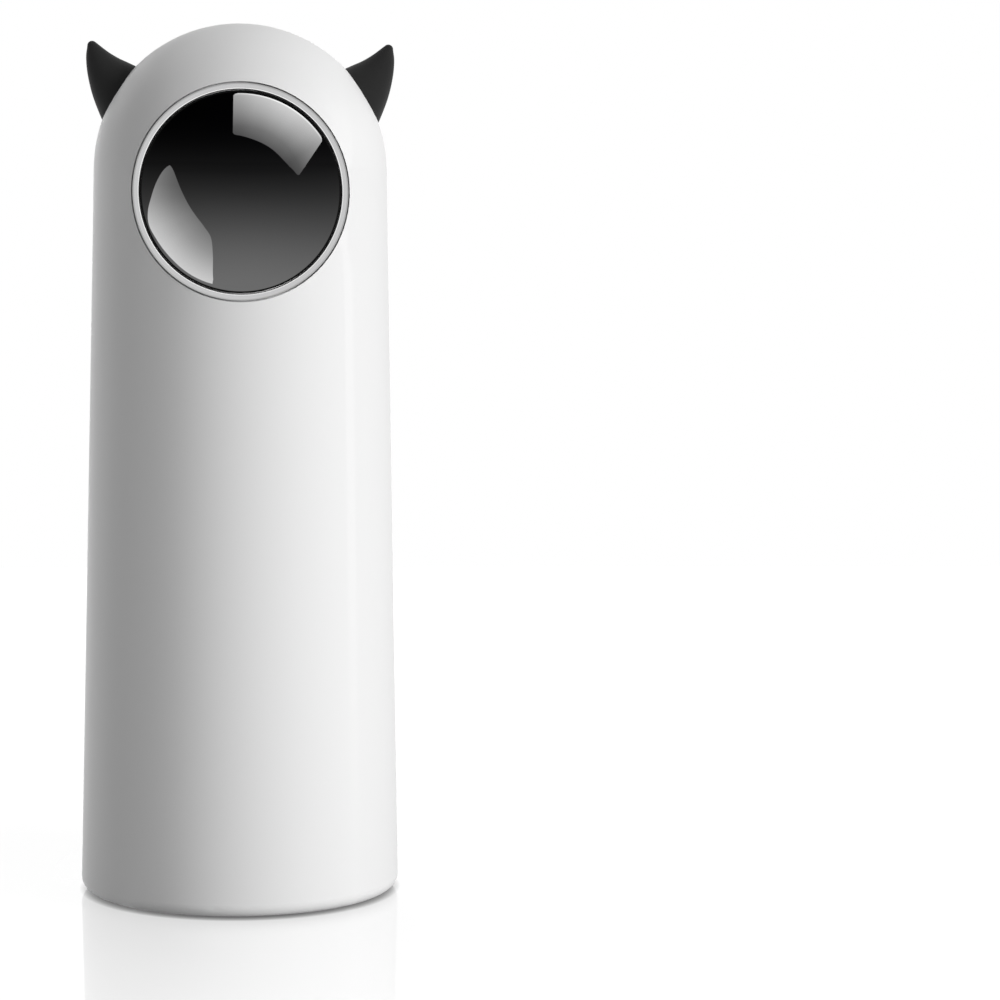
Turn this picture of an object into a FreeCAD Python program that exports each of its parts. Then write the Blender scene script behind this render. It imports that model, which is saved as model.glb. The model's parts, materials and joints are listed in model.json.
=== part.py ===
import FreeCAD, Part
import math
import os
from collections import namedtuple

# Automatic cat laser toy: a drafted round tower with a domed top, two soft horns, a round
# front window, a thumb slider at the back that tilts the laser head, four buttons, a USB
# socket and a sliding battery door. Millimetres, +Z up, the window faces -Y, and the
# origin is on the floor under the middle of the base.

V = FreeCAD.Vector
AXES = {"x": V(1, 0, 0), "y": V(0, 1, 0), "z": V(0, 0, 1)}

# ---------------------------------------------------------------- driving sizes

# casing
total_height = 212.0
base_radius = 39.1              # side wall carried down to z = 0
draft = math.radians(1.17)
wall = 2.0
bottom_round = 3.0
foot_lift = 0.4                 # how far the feet lift the casing
rim_width = 3.9                 # inward lip round the open bottom of the housing
rim_depth = 2.5
guide_drops = (76.0, 16.0)      # ends of the fork guides, below the dome centre
guide_thickness = 2.0

# modelling
spare = 4.0                     # how far a cutting tool reaches past what it cuts
sink = 0.5                      # how deep shapes that are joined sink into each other

# clearances
seat_gap = 0.08                 # between curved faces that seat on each other
slide_gap = 0.2                 # between pieces that slide
shaft_gap = 0.05                # radial, shaft in its hole
press_gap = 0.02                # radial, pressed or glued pieces
cap_gap = 0.2                   # radial, button cap in its hole
screw_gap = 0.2                 # radial, shank in a hole that it passes through

# front window
window_drop = 5.25              # window centre below the centre of the dome
bezel_radius = 25.6
bezel_width = 1.5
bezel_proud = 0.35
window_gap = 0.3
window_inset = 0.1
window_depth = 1.2              # how deep ring and window sit in the wall
window_ledge = 3.6

# horns
horn_latitude = 32.8
horn_lean = 25.8                # degrees the horn leans up from square to the dome
horn_shift = 0.6                # horn's axis above the middle of its root
# (height, radius) up the horn's own axis; a ball of the last radius closes the tip
horn_bands = ((-5.0, 7.1), (0.0, 6.5), (3.5, 5.55), (6.8, 4.2), (9.8, 2.75), (12.2, 1.4))
horn_neck_radius = 3.4
horn_neck_rise = 1.0            # how far the neck runs up into the horn
horn_flange_radius = 4.8
horn_flange_thickness = 1.0

# thumb slider and its slot
pad_low_latitude = 3.8
pad_high_latitude = 26.7
slot_high_latitude = 39.0
slot_width = 13.2
slot_margin = 0.4               # degrees the slot reaches below the pad
slot_top_round = 6.2
slot_bottom_round = 5.4
pad_gap = 0.25
pad_proud = 0.4
pad_peg_radius = 1.0
pad_peg_reach = 3.5             # distance of the two pegs from the middle
bump_rows = 4
bump_pitch_across = 2.83
bump_pitch_up = 2.64
bump_foot_radius = 0.66
bump_top_radius = 0.36
bump_height = 0.3
bump_sides = 8
tilt_travel = 11.0              # degrees
shutter_gap = 0.4
shutter_thickness = 1.2
shutter_width = 17.0
shutter_top_latitude = 32.6
shutter_low_margin = 3.5        # degrees the shutter covers below the pad, at full tilt
shutter_rib = (5.0, 6.5)        # from the middle to the rib's faces
shutter_rib_half_height = 3.0
shutter_foot = (11.5, 2.0, 4.0)     # half width, thickness, half height

# rear panel
button_heights = {"one": 83.9, "two": 68.8, "three": 53.7, "power": 31.4}
button_radii = {"one": 5.25, "two": 5.25, "three": 5.25, "power": 7.15}
button_travel = 0.4
button_flange = 0.9
button_flange_thickness = 0.8
button_flange_gap = 0.25        # between the flange and the wall
button_stem_radius = 2.2
indicator_offset = 10.3
indicator_drop = 0.25
low_indicator_height = 43.4
indicator_radius = 0.6
indicator_inset = 0.4
usb_height = 18.4
usb_opening = (11.9, 3.9)
usb_opening_round = 1.1
usb_shell = (8.94, 3.26)
usb_shell_length = 8.9
usb_shell_wall = 0.3
usb_shell_flat = 0.2            # flat left above and below the middle of its short sides
usb_floor = 1.0
usb_tongue_width = 6.7
usb_tongue_thickness = 0.7
usb_tongue_setback = 1.0

# circuit board
board_setback = 10.1            # rear face of the board inside the base radius
board_thickness = 1.2
board_half_width = 17.0
board_low = 13.0
board_high = 95.0
board_screw_inset = (3.5, 11.0, 5.0)    # from the board's sides, lower edge and upper edge
switch_size = 6.0
switch_height = 3.5
switch_well = 1.2
plunger_radius = 1.75
plunger_reach = 0.8
plunger_float = 0.1             # left under a plunger that is pressed home
led_size = (1.6, 0.6, 0.8)
pipe_gap = 0.2                  # between an LED and its light pipe
# blocks on the board's front: left and right, low and high above the board's edge, height
board_chips = (((-4.5, 4.5), (57.0, 66.0), 1.2), ((-2.5, 2.5), (13.0, 18.0), 1.0),
               ((4.0, 10.0), (17.0, 23.0), 2.6))
capacitor_size = (2.5, 5.5)     # radius, height
capacitor_places = ((-9.0, 21.0), (-9.0, 29.0))

# base, battery box and door
cell_radius = 7.25
cell_length = 49.5
cell_nub = 1.0
cell_nub_radius = 2.75
cell_pitch = 14.7
cell_middle_y = -0.75
cell_rest = 0.4                 # room above and below the cells
cell_play = 0.55                # room beside the outer cells
contact_room = 1.2
contact_thickness = 0.4
contact_half_width = 4.5
contact_button_radius = 2.0
leaf_thickness = 0.25
leaf_half_width = 2.5
box_wall = 1.2
box_clip = 2.3                  # between the box's round corners and the casing's wall
plate_thickness = 2.0
door_thickness = 1.6
deck_thickness = 1.2
door_side_margin = 7.5          # base plate left beside the door
door_rim = 1.5                  # base plate left round the door's front
door_height = 4.4               # height of the door's rear skirt
skirt_setback = 2.0             # from the box's rear end to the skirt
ledge_width = 1.5               # deck's reach past the door's opening
rail_setback = 2.5              # middle of the rail webs inside the door's edge
rail_thickness = 1.0
rail_flange = 2.2
rail_hook = 0.8
rail_back_gap = 5.0
grip_radius = 9.0
grip_depth = 0.6
grip_y = 22.0
grip_rib = (12.0, 1.0)
grip_rib_pitch = 4.0
grip_ribs = 3
base_screw_setback = 7.5        # base screws inside the casing's radius
base_boss_height = 3.6
boss_radius = 3.0
boss_height = 16.0
boss_floor = 3.0                # solid end of each screw boss
foot_thickness = 1.6
foot_margin = 1.3               # between a foot's edge and the edge of the base plate
front_foot_half_width = 15.0
head_cover = 0.1                # between a foot and the screw heads behind it

# chassis and head
fork_inner = 25.0
fork_thickness = 3.0
fork_width = 14.0
pivot_radius = 6.5
chassis_plate = 2.0
shelf_reach = 33.0
shelf_heights = (60.0, 89.0)    # of the two middle shelves
upper_shelf_drop = 48.5         # below the dome centre
bottom_shelf_gap = 4.0          # from the box's front end to the lowest shelf
wire_slot = (8.0, 16.0)
rail_flare = 2.0                # each rail's extra half width at its foot
rail_window = (6.0, 14.0)
rail_window_rise = 8.0
window_pitch = 24.0
post_radius = 2.4
post_length = 9.0
post_rib = 2.0
chassis_screw_reach = 18.0
valley_boss = (2.0, 3.6)        # radius and height of the bosses between the cells
cheek_outer = 24.0
cheek_thickness = 2.0
cheek_top = (7.0, 7.5)          # half width of its top edge, height above the dome centre
cheek_front_rise = 2.5
cheek_waist_drop = 20.5
cheek_hole = (5.5, -9.0, -16.0)     # radius, y, height from the dome centre
bar_back = 17.5
bar_thickness = 2.5
bar_heights = (-10.5, 0.5)      # from the dome centre
washer_radius = 5.0
washer_play = 0.3
laser_y = -11.0
mirror_drop = 10.5              # mirror below the dome centre
beam_drop = 9.0                 # degrees below level at rest
laser_radius = 3.25
laser_gap = 0.1
laser_top_drop = 20.5
laser_length = 17.0
laser_bore = (2.6, 2.0)         # radius, depth
laser_lens_thickness = 1.4
laser_board_size = (8.0, 7.0, 1.0)
shelf_drop = 30.5
shelf_thickness = 2.5
shelf_ends = (-8.5, 8.0)        # from the laser's axis
clamp_radius = 5.5
clamp_height = 5.0
clamp_ears = (20.0, 6.0, 2.0)

# gears and mirror, along the mirror's shaft from the mirror's face
gear_module = 0.5
pressure_angle = math.radians(20)
wheel_teeth = 36
pinion_teeth = 10
tooth_shift = 0.35              # of the module, pinion out and wheel in
tooth_addendum = 0.9
tooth_dedendum = 1.25
backlash = 0.08
flank_steps = 3                 # straight stretches along each side of a tooth
gear_spread = gear_module * (wheel_teeth + pinion_teeth) / 2
mirror_radius = 7.0
mirror_thickness = 1.0
mirror_wobble = 4.0             # degrees off square
mirror_shaft_radius = 1.0
holder_rim = 0.3
holder_thickness = 1.2
hub_radius = 2.6                # of the mirror's holder and the output wheel
hub_rise = 0.4
idler_hub_radius = 1.9
axle_radius = 0.75              # idler's axle and motor's shaft
bush_radius = 2.2
bush_lip = 0.3
deck_low = 2.3
deck_high = 4.5
deck_ends = (-14.0, 12.0)
deck_bore = 9.5
front_plate_high = 6.5
wheel_low = 7.0
wheel_high = 10.0
idler_low = 10.7
idler_high = 13.2
rear_plate_low = 15.0
rear_plate_high = 17.0
gearbox_half_width = 12.7
gearbox_ends = (-15.2, 11.0)
gearbox_corner = 2.5
pillar_radius = 2.0
pillar_pairs = ((10.2, -5.75), (8.3, 8.3))
motor_length = 12.5
motor_radius = 6.0
motor_boss = (2.0, 1.6)         # radius, length
motor_end_cap = (3.5, 1.0)
motor_shaft_depth = 3.0
motor_tab = (1.8, 0.4, 2.5)
motor_tab_reach = 4.5

# screws: head radius, head height, shank radius, length; then their distances from the middle
pivot_screw_grip = 3.8          # how far the pivots' screws reach into the cradle
motor_screw_grip = 1.5
Screw = namedtuple("Screw", "head crown shank length")
base_screw = Screw(2.1, 1.5, 1.2, 9.0)
chassis_screw = Screw(2.1, 1.4, 1.1, 5.0)
board_screw = Screw(2.1, 1.3, 1.1, 7.0)
pivot_screw = Screw(3.4, 1.6, 2.0, fork_thickness + pivot_screw_grip)
shutter_screw = Screw(2.0, 1.2, 1.1, 4.5)
clamp_screw = Screw(1.7, 1.2, 0.9, 4.2)
gearbox_screw = Screw(1.8, 1.2, 0.9, rear_plate_high - deck_low)
motor_screw = Screw(1.3, 0.8, 0.7, rear_plate_high - rear_plate_low + motor_screw_grip)
shutter_screw_reach = 9.0
shutter_screw_drop = 5.0
clamp_screw_reach = 7.5
motor_screw_reach = 4.2

# ---------------------------------------------------------------- worked out sizes

dome_radius = ((base_radius * math.cos(draft) - total_height * math.sin(draft))
               / (1 - math.sin(draft)))
dome_z = total_height - dome_radius
inner_radius = dome_radius - wall
reach = 2 * base_radius         # long enough to pass through the casing
window_z = dome_z - window_drop
rim_bore = base_radius - rim_width
plate_radius = rim_bore - slide_gap
door_half_width = plate_radius - door_side_margin
rail_web = door_half_width - rail_setback
base_screw_radius = base_radius - base_screw_setback
plate_top = foot_lift + plate_thickness
base_screw_seat = foot_thickness + head_cover + base_screw.crown
door_top = foot_lift + door_thickness
deck_bottom = door_top + slide_gap
deck_top = deck_bottom + deck_thickness
cell_z = door_top + slide_gap + cell_rest + cell_radius
box_half_width = cell_pitch + cell_radius + cell_play
box_front = cell_middle_y - (cell_length + cell_nub) / 2 - contact_room
box_back = cell_middle_y + (cell_length + cell_nub) / 2 + contact_room
box_top = cell_z + cell_radius + cell_rest + box_wall
door_front = box_front - box_wall
door_radius = plate_radius - door_rim
rail_front = -math.sqrt(door_radius ** 2 - (rail_web + rail_flange) ** 2) + sink
board_back = base_radius - board_setback
board_front = board_back - board_thickness
switch_back = board_back + switch_height
plunger_end = switch_back + plunger_reach
boss_bottom = foot_lift + base_boss_height
mirror_z = dome_z - mirror_drop
axis_lean = 45 - beam_drop / 2
upper_shelf_z = dome_z - upper_shelf_drop
laser_top = dome_z - laser_top_drop
laser_bottom = laser_top - laser_length
laser_bore_floor = laser_top - laser_bore[1]
shelf_z = dome_z - shelf_drop
fork_outer = fork_inner + fork_thickness
holder_back = mirror_thickness + holder_thickness
bar_front = bar_back - bar_thickness
foot_face = bar_back + shutter_foot[1]      # rear face of the shutter's foot

# ---------------------------------------------------------------- helpers


def place(axis, along, centre):
    """Point at a distance along an axis, with its other two coordinates."""
    first, second = centre
    return {"x": V(along, first, second), "y": V(first, along, second),
            "z": V(first, second, along)}[axis]


def rod(radius, low, high, centre=(0, 0), axis="z"):
    return Part.makeCylinder(radius, high - low, place(axis, low, centre), AXES[axis])


def tube(outer, inner, low, high, centre=(0, 0), axis="z"):
    bore = rod(inner, low - spare, high + spare, centre, axis)
    return rod(outer, low, high, centre, axis).cut(bore)


def block(x, y, z):
    return Part.makeBox(x[1] - x[0], y[1] - y[0], z[1] - z[0], V(x[0], y[0], z[0]))


def both_sides(shape):
    """A shape and its mirror image across the middle plane."""
    return [shape, shape.mirror(V(0, 0, 0), V(1, 0, 0))]


def fuse(shapes):
    first, *others = shapes
    return first.multiFuse(others).removeSplitter() if others else first


def side_plate(points, x_low, x_high):
    """Plate across X, from its corners in the YZ plane."""
    corners = [V(x_low, y, z) for y, z in points]
    face = Part.Face(Part.makePolygon(corners + corners[:1]))
    return face.extrude(V(x_high - x_low, 0, 0))


def rounded_block(x, z, low, high, top_round, bottom_round=None):
    """Block along Y from low to high, with its corners in the XZ plane rounded."""
    solid = block(x, (low, high), z)
    middle = (z[0] + z[1]) / 2
    for radius, upper in ((top_round, True), (bottom_round or top_round, False)):
        corners = [e for e in solid.Edges if abs(e.Length - (high - low)) < 1e-6
                   and min(abs(e.CenterOfMass.z - z[0]), abs(e.CenterOfMass.z - z[1])) < 1e-6
                   and min(abs(e.CenterOfMass.x - x[0]), abs(e.CenterOfMass.x - x[1])) < 1e-6
                   and (e.CenterOfMass.z > middle) == upper]
        solid = solid.makeFillet(radius, corners)
    return solid


def bump(x, level):
    """Small stud along Z that tapers from just under a level to its top."""
    turns = [2 * math.pi * (i + 0.5) / bump_sides for i in range(bump_sides)]
    rings = []
    for radius, z in ((bump_foot_radius, level - sink), (bump_top_radius, level + bump_height)):
        corners = [V(x + radius * math.cos(turn), radius * math.sin(turn), z) for turn in turns]
        rings.append(Part.makePolygon(corners + corners[:1]))
    return Part.makeLoft(rings, True, True)


def screw(kind, start, direction):
    """Screw whose head sits at start; its shank runs along the direction."""
    way = V(*direction)
    way.normalize()
    crown = Part.makeCylinder(kind.head, kind.crown, start - way * kind.crown, way)
    return crown.fuse(Part.makeCylinder(kind.shank, kind.length, start, way))


def form(inset=0.0, low=0.0, corner=0.0):
    """Solid of the casing's outer form moved inward by an inset, from a height upward."""
    cos, sin = math.cos(draft), math.sin(draft)
    sphere = dome_radius - inset

    def side(z, step=0.0):
        return base_radius - z * math.tan(draft) - (inset + step) / cos

    shoulder = V(sphere * cos, 0, dome_z + sphere * sin)
    halfway = math.pi / 4 + draft / 2
    haunch = V(sphere * math.cos(halfway), 0, dome_z + sphere * math.sin(halfway))
    top = V(0, 0, dome_z + sphere)
    foot = V(0, 0, low)
    if corner:
        hub = V(side(low + corner, corner), 0, low + corner)
        start = V(hub.x, 0, low)
        turn = (math.pi / 2 - draft) / 2
        bend = hub + V(math.sin(turn), 0, -math.cos(turn)) * corner
        end = hub + V(cos, 0, sin) * corner
        outline = [Part.LineSegment(foot, start), Part.Arc(start, bend, end),
                   Part.LineSegment(end, shoulder)]
    else:
        start = V(side(low), 0, low)
        outline = [Part.LineSegment(foot, start), Part.LineSegment(start, shoulder)]
    outline += [Part.Arc(shoulder, haunch, top), Part.LineSegment(top, foot)]
    face = Part.Face(Part.Wire([part.toShape() for part in outline]))
    return face.revolve(V(0, 0, 0), V(0, 0, 1), 360)


def casing_form():
    return form(0, foot_lift, bottom_round)


def between(tool, outer_inset, inner_inset):
    """The stretch of a tool between two insets of the casing's form."""
    return tool.common(form(outer_inset)).cut(form(inner_inset))


def at_back(shape, latitude):
    """Turn a shape that points along +Z to a latitude at the back of the dome."""
    turned = shape.copy()
    turned.rotate(V(0, 0, 0), V(1, 0, 0), latitude - 90)
    turned.translate(V(0, 0, dome_z))
    return turned


def on_horn_axis(shape):
    """Turn a shape that stands on z = 0 to the right horn's place on the dome."""
    turned = shape.copy()
    turned.translate(V(0, 0, dome_radius))
    turned.rotate(V(0, 0, 0), V(0, 1, 0), 90 - horn_latitude)
    turned.translate(V(0, 0, dome_z))
    return turned


def on_shaft(shape):
    """Put a shape that is modelled along +Z from the mirror's face on the mirror's axis."""
    turned = shape.copy()
    turned.rotate(V(0, 0, 0), V(1, 0, 0), -axis_lean)
    turned.translate(V(0, laser_y, mirror_z))
    return turned


def shaft_point(x, y, z):
    lean = math.radians(axis_lean)
    return V(x, laser_y + y * math.cos(lean) + z * math.sin(lean),
             mirror_z - y * math.sin(lean) + z * math.cos(lean))


shaft_way = shaft_point(0, 0, 1) - shaft_point(0, 0, 0)

# ---------------------------------------------------------------- casing

base_screw_places = [(base_screw_radius, 0), (-base_screw_radius, 0), (0, -base_screw_radius)]
chassis_screw_places = [(x * cell_pitch / 2, cell_middle_y + y * chassis_screw_reach)
                        for x in (-1, 1) for y in (-1, 1)]
button_names = list(button_heights)
indicator_places = [(side * indicator_offset, button_heights[name] - indicator_drop)
                    for name in ("one", "two") for side in (-1, 1)] + [(0, low_indicator_height)]


def slot_prism(low_latitude, high_latitude, width, top_round, low_round, inner, outer):
    """Rounded prism that points out of the dome's back, between two latitudes."""
    middle = (low_latitude + high_latitude) / 2
    half = math.radians(high_latitude - low_latitude) / 2
    reach = dome_radius * math.sin(half)
    solid = rounded_block((-width / 2, width / 2), (-reach, reach), inner, outer,
                          top_round, low_round)
    solid.rotate(V(0, 0, 0), V(1, 0, 0), middle)
    solid.translate(V(0, 0, dome_z))
    return solid


def base_screw_bosses():
    bosses = []
    for x, y in base_screw_places:
        way = V(x, y, 0)
        way.normalize()
        web = block((0, base_radius - base_screw_radius), (-boss_radius / 2, boss_radius / 2),
                    (boss_bottom, boss_height))
        web.rotate(V(0, 0, 0), V(0, 0, 1), math.degrees(math.atan2(y, x)))
        web.translate(V(x, y, 0))
        boss = rod(boss_radius, boss_bottom, boss_height, (x, y)).fuse(web)
        boss = boss.cut(rod(base_screw.shank + shaft_gap, 0, boss_height - boss_floor, (x, y)))
        bosses.append(boss.common(form(wall / 2)))
    return bosses


def fork_guides():
    """Ribs on the side walls that steady the fork arms."""
    low, high = (dome_z - drop for drop in guide_drops)
    half = guide_thickness / 2
    rib = block((fork_outer + slide_gap, base_radius), (-half, half), (low, high))
    return [guide.common(form(wall / 2)) for guide in both_sides(rib)]


def main_housing():
    shell = casing_form().cut(form(wall, foot_lift + rim_depth))
    shell = shell.cut(rod(rim_bore, 0, foot_lift + rim_depth + spare))
    shell = shell.multiFuse(base_screw_bosses() + fork_guides())
    recess = rod(bezel_radius + seat_gap, -reach, 0, (0, window_z), "y")
    cuts = [recess.cut(form(window_depth + seat_gap)),
            rod(bezel_radius - window_ledge, -reach, 0, (0, window_z), "y"),
            slot_prism(pad_low_latitude - slot_margin, slot_high_latitude, slot_width,
                       slot_top_round, slot_bottom_round, inner_radius - spare,
                       dome_radius + spare)]
    socket = on_horn_axis(rod(horn_neck_radius + seat_gap, -wall - spare, spare))
    cuts += both_sides(socket)
    for name in button_names:
        cuts.append(rod(button_radii[name] + cap_gap, board_back, reach,
                        (0, button_heights[name]), "y"))
    for spot in indicator_places:
        cuts.append(rod(indicator_radius + shaft_gap, board_back, reach, spot, "y"))
    width, height = usb_opening
    cuts.append(rounded_block((-width / 2, width / 2),
                              (usb_height - height / 2, usb_height + height / 2),
                              board_back, reach, usb_opening_round))
    notch = door_half_width + slide_gap
    cuts.append(block((-notch, notch), (0, reach), (0, foot_lift + door_height + slide_gap)))
    return shell.cut(Part.makeCompound(cuts)).removeSplitter()


def lens_bezel():
    ring = tube(bezel_radius, bezel_radius - bezel_width, -reach, 0, (0, window_z), "y")
    return between(ring, -bezel_proud, window_depth)


def lens_window():
    disc = rod(bezel_radius - bezel_width - window_gap, -reach, 0, (0, window_z), "y")
    return between(disc, window_inset, window_depth)


def horn():
    """Soft horn with a neck through the dome and a flange behind it."""
    bands = [Part.makeCone(low[1], high[1], high[0] - low[0], V(0, 0, low[0]))
             for low, high in zip(horn_bands, horn_bands[1:])]
    tip_height, tip_radius = horn_bands[-1]
    spike = fuse(bands + [Part.makeSphere(tip_radius, V(0, 0, tip_height))])
    spike.rotate(V(0, 0, 0), V(0, 1, 0), -horn_lean)
    spike.translate(V(-horn_shift, 0, 0))
    body = on_horn_axis(spike).cut(form(-seat_gap))
    neck = on_horn_axis(rod(horn_neck_radius, -wall - sink, horn_neck_rise))
    flange = on_horn_axis(rod(horn_flange_radius, -wall - spare, 0))
    flange = between(flange, wall + seat_gap, wall + seat_gap + horn_flange_thickness)
    return body.multiFuse([neck, flange])


# ---------------------------------------------------------------- base and battery


def battery_room(grow=0.0):
    """Inside of the battery box, clipped to the round casing."""
    room = block((-box_half_width - grow, box_half_width + grow),
                 (box_front - grow, box_back + grow), (0, box_top - box_wall + grow))
    return room.common(rod(base_radius - wall - box_clip + grow, 0, box_top + spare))


def door_outline(grow, low, high):
    """Plan of the door: round in front, open to the back."""
    half = door_half_width + grow
    plan = block((-half, half), (door_front - grow, base_radius), (low, high))
    behind = block((-half, half), (0, base_radius), (low, high))
    return plan.common(rod(door_radius + grow, low, high).fuse(behind))


def base_cap():
    """Round base plate with the door's opening and ledges, and the battery box on top."""
    ledge = door_half_width + slide_gap + ledge_width
    lip_top = foot_lift + rim_depth + slide_gap
    plate = rod(plate_radius, foot_lift, plate_top)
    plate = plate.cut(door_outline(slide_gap, 0, deck_bottom))
    deck = block((-ledge, ledge), (door_front - ledge_width, base_radius),
                 (deck_bottom, deck_top))
    deck = deck.common(rod(plate_radius, 0, deck_top))
    box = battery_room(box_wall).common(rod(base_radius, lip_top, box_top))
    bosses = [rod(boss_radius, foot_lift, boss_bottom, spot) for spot in base_screw_places]
    body = fuse([plate, deck, box] + bosses).cut(door_outline(slide_gap, 0, deck_bottom))
    body = body.cut(battery_room())
    valley_radius, valley_height = valley_boss
    valleys = [rod(valley_radius, box_top - valley_height, box_top, spot)
               for spot in chassis_screw_places]
    body = fuse([body] + valleys)
    slot = block((rail_web - rail_thickness / 2 - slide_gap,
                  rail_web + rail_thickness / 2 + slide_gap),
                 (rail_front - slide_gap, base_radius), (0, deck_top))
    cuts = both_sides(slot)
    for spot in base_screw_places:
        cuts.append(rod(base_screw.head + screw_gap, 0, base_screw_seat, spot))
        cuts.append(rod(base_screw.shank + screw_gap, 0, boss_bottom + spare, spot))
    for spot in chassis_screw_places:
        cuts.append(rod(chassis_screw.shank + shaft_gap, box_top - chassis_screw.length,
                        box_top + spare, spot))
    cuts += foot_outlines(slide_gap)
    return body.cut(Part.makeCompound(cuts)).removeSplitter()


def foot_outlines(grow=0.0):
    """The front, left and right feet, or their recesses."""
    side = door_half_width + foot_margin - grow
    half = front_foot_half_width + grow
    disc = rod(plate_radius - foot_margin + grow, 0, foot_thickness)
    right = disc.common(block((side, reach), (-reach, reach), (0, spare)))
    front = disc.common(block((-half, half), (-reach, door_front - foot_margin + grow),
                              (0, spare)))
    return [front, right.mirror(V(0, 0, 0), V(1, 0, 0)), right]


def base_screws():
    return Part.makeCompound([screw(base_screw, V(x, y, base_screw_seat), (0, 0, 1))
                              for x, y in base_screw_places])


def battery_door():
    """Sliding door: plate, rear skirt in line with the casing, and two hooked rails."""
    wide = (-door_half_width, door_half_width)
    plate = door_outline(0, foot_lift, door_top)
    skirt = block(wide, (box_back + skirt_setback, base_radius), (0, foot_lift + door_height))
    body = plate.fuse(skirt.cut(form(wall))).common(casing_form())
    rail_end = (rail_front, box_back - rail_back_gap)
    web = (rail_web - rail_thickness / 2, rail_web + rail_thickness / 2)
    hook = (web[0], rail_web + rail_flange)
    hook_low = deck_top + slide_gap
    hook_high = hook_low + rail_hook
    rails = both_sides(block(web, rail_end, (door_top - sink, hook_high)))
    rails += both_sides(block(hook, rail_end, (hook_low, hook_high)))
    grip = rod(grip_radius, 0, foot_lift + grip_depth, (0, grip_y))
    half, thick = grip_rib[0] / 2, grip_rib[1] / 2
    ribs = []
    for row in range(grip_ribs):
        y = grip_y + (row - (grip_ribs - 1) / 2) * grip_rib_pitch
        ribs.append(block((-half, half), (y - thick, y + thick),
                          (foot_lift, foot_lift + grip_depth + sink)))
    return fuse([body.cut(grip)] + rails + ribs)


def battery_cell(x, way):
    """Round cell with its nub at the front (-1) or the back (+1)."""
    half = (cell_length + cell_nub) / 2
    can = rod(cell_radius, -half, half - cell_nub, (x, cell_z), "y")
    nub = rod(cell_nub_radius, half - cell_nub - sink, half, (x, cell_z), "y")
    cell = can.fuse(nub)
    if way < 0:
        cell.rotate(V(x, 0, cell_z), V(0, 0, 1), 180)
    cell.translate(V(0, cell_middle_y, 0))
    return cell


def contact(x, end, sprung):
    """Contact plate at one end of the box, with a bent leaf or a raised button."""
    face = box_front if end < 0 else box_back
    inward = -end
    wide = (x - contact_half_width, x + contact_half_width)
    high = (cell_z - contact_half_width, cell_z + contact_half_width)
    plate = block(wide, sorted((face, face + inward * contact_thickness)), high)
    if sprung:
        root = face + inward * contact_thickness
        tip = face + inward * (contact_room - shaft_gap)
        hollow = tip - inward * leaf_thickness
        foot = (high[1] - cell_z) * leaf_thickness / abs(tip - root)
        points = [(root, high[0]), (root, high[0] + foot), (hollow, cell_z),
                  (root, high[1] - foot), (root, high[1]), (tip, cell_z)]
        return plate.fuse(side_plate(points, x - leaf_half_width, x + leaf_half_width))
    ends = sorted((face, face + inward * (contact_room - shaft_gap)))
    return plate.fuse(rod(contact_button_radius, ends[0], ends[1], (x, cell_z), "y"))


def battery_contacts(end):
    """Three contacts; the middle cell lies the other way round."""
    plates = [contact(row * cell_pitch, end, (row == 0) == (end > 0)) for row in (-1, 0, 1)]
    return Part.makeCompound(plates)


# ---------------------------------------------------------------- chassis and board

screw_x = board_half_width - board_screw_inset[0]
board_screw_places = [(x, z) for x in (-screw_x, screw_x)
                      for z in (board_low + board_screw_inset[1],
                                board_high - board_screw_inset[2])]


def chassis_frame():
    """Two side rails that end in the head's fork, tied by shelves that carry the board."""
    half = fork_width / 2
    foot_half = half + rail_flare
    rail = side_plate([(-foot_half, box_top), (foot_half, box_top), (half, dome_z),
                       (-half, dome_z)], fork_inner, fork_outer)
    rail = rail.fuse(rod(pivot_radius, fork_inner, fork_outer, (0, dome_z), "x"))
    rail = rail.cut(rod(pivot_screw.shank + shaft_gap, 0, base_radius, (0, dome_z), "x"))
    window_half = rail_window[0] / 2
    for step in range(int((upper_shelf_z - box_top) / window_pitch)):
        low = box_top + rail_window_rise + step * window_pitch
        rail = rail.cut(block((0, reach), (-window_half, window_half),
                              (low, low + rail_window[1])))
    shelves = []
    for z in (box_top, *shelf_heights):
        shelf = block((-fork_inner, fork_inner), (-half, board_front), (z, z + chassis_plate))
        if z == box_top:
            shelf = block((-fork_outer, fork_outer), (box_front + bottom_shelf_gap, board_front),
                          (z, z + chassis_plate))
        shelf = shelf.common(rod(shelf_reach, 0, dome_z))
        shelves.append(shelf.cut(block((-wire_slot[0] / 2, wire_slot[0] / 2), (0, wire_slot[1]),
                                       (0, dome_z))))
    shelves.append(block((-fork_inner, fork_inner), (-half, half),
                         (upper_shelf_z, upper_shelf_z + chassis_plate)))
    posts = []
    for x, z in board_screw_places:
        ends = (board_front - post_length, board_front)
        posts.append(rod(post_radius, ends[0], ends[1], (x, z), "y"))
        foot = max(height for height in (box_top, *shelf_heights) if height < z)
        posts.append(block((x - post_rib / 2, x + post_rib / 2), ends, (foot, z)))
    frame = fuse(both_sides(rail) + shelves + posts)
    holes = [rod(board_screw.shank + shaft_gap, board_front - board_screw.length, board_back,
                 spot, "y") for spot in board_screw_places]
    holes += [rod(chassis_screw.shank + screw_gap, box_top - spare,
                  box_top + chassis_plate + spare, spot) for spot in chassis_screw_places]
    return frame.cut(Part.makeCompound(holes))


def chassis_screws():
    top = box_top + chassis_plate
    return Part.makeCompound([screw(chassis_screw, V(x, y, top), (0, 0, -1))
                              for x, y in chassis_screw_places])


def main_board():
    board = block((-board_half_width, board_half_width), (board_front, board_back),
                  (board_low, board_high))
    return board.cut(Part.makeCompound([rod(board_screw.shank + screw_gap, 0, reach, spot, "y")
                                        for spot in board_screw_places]))


def board_screws():
    return Part.makeCompound([screw(board_screw, V(x, board_back, z), (0, -1, 0))
                              for x, z in board_screw_places])


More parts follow.
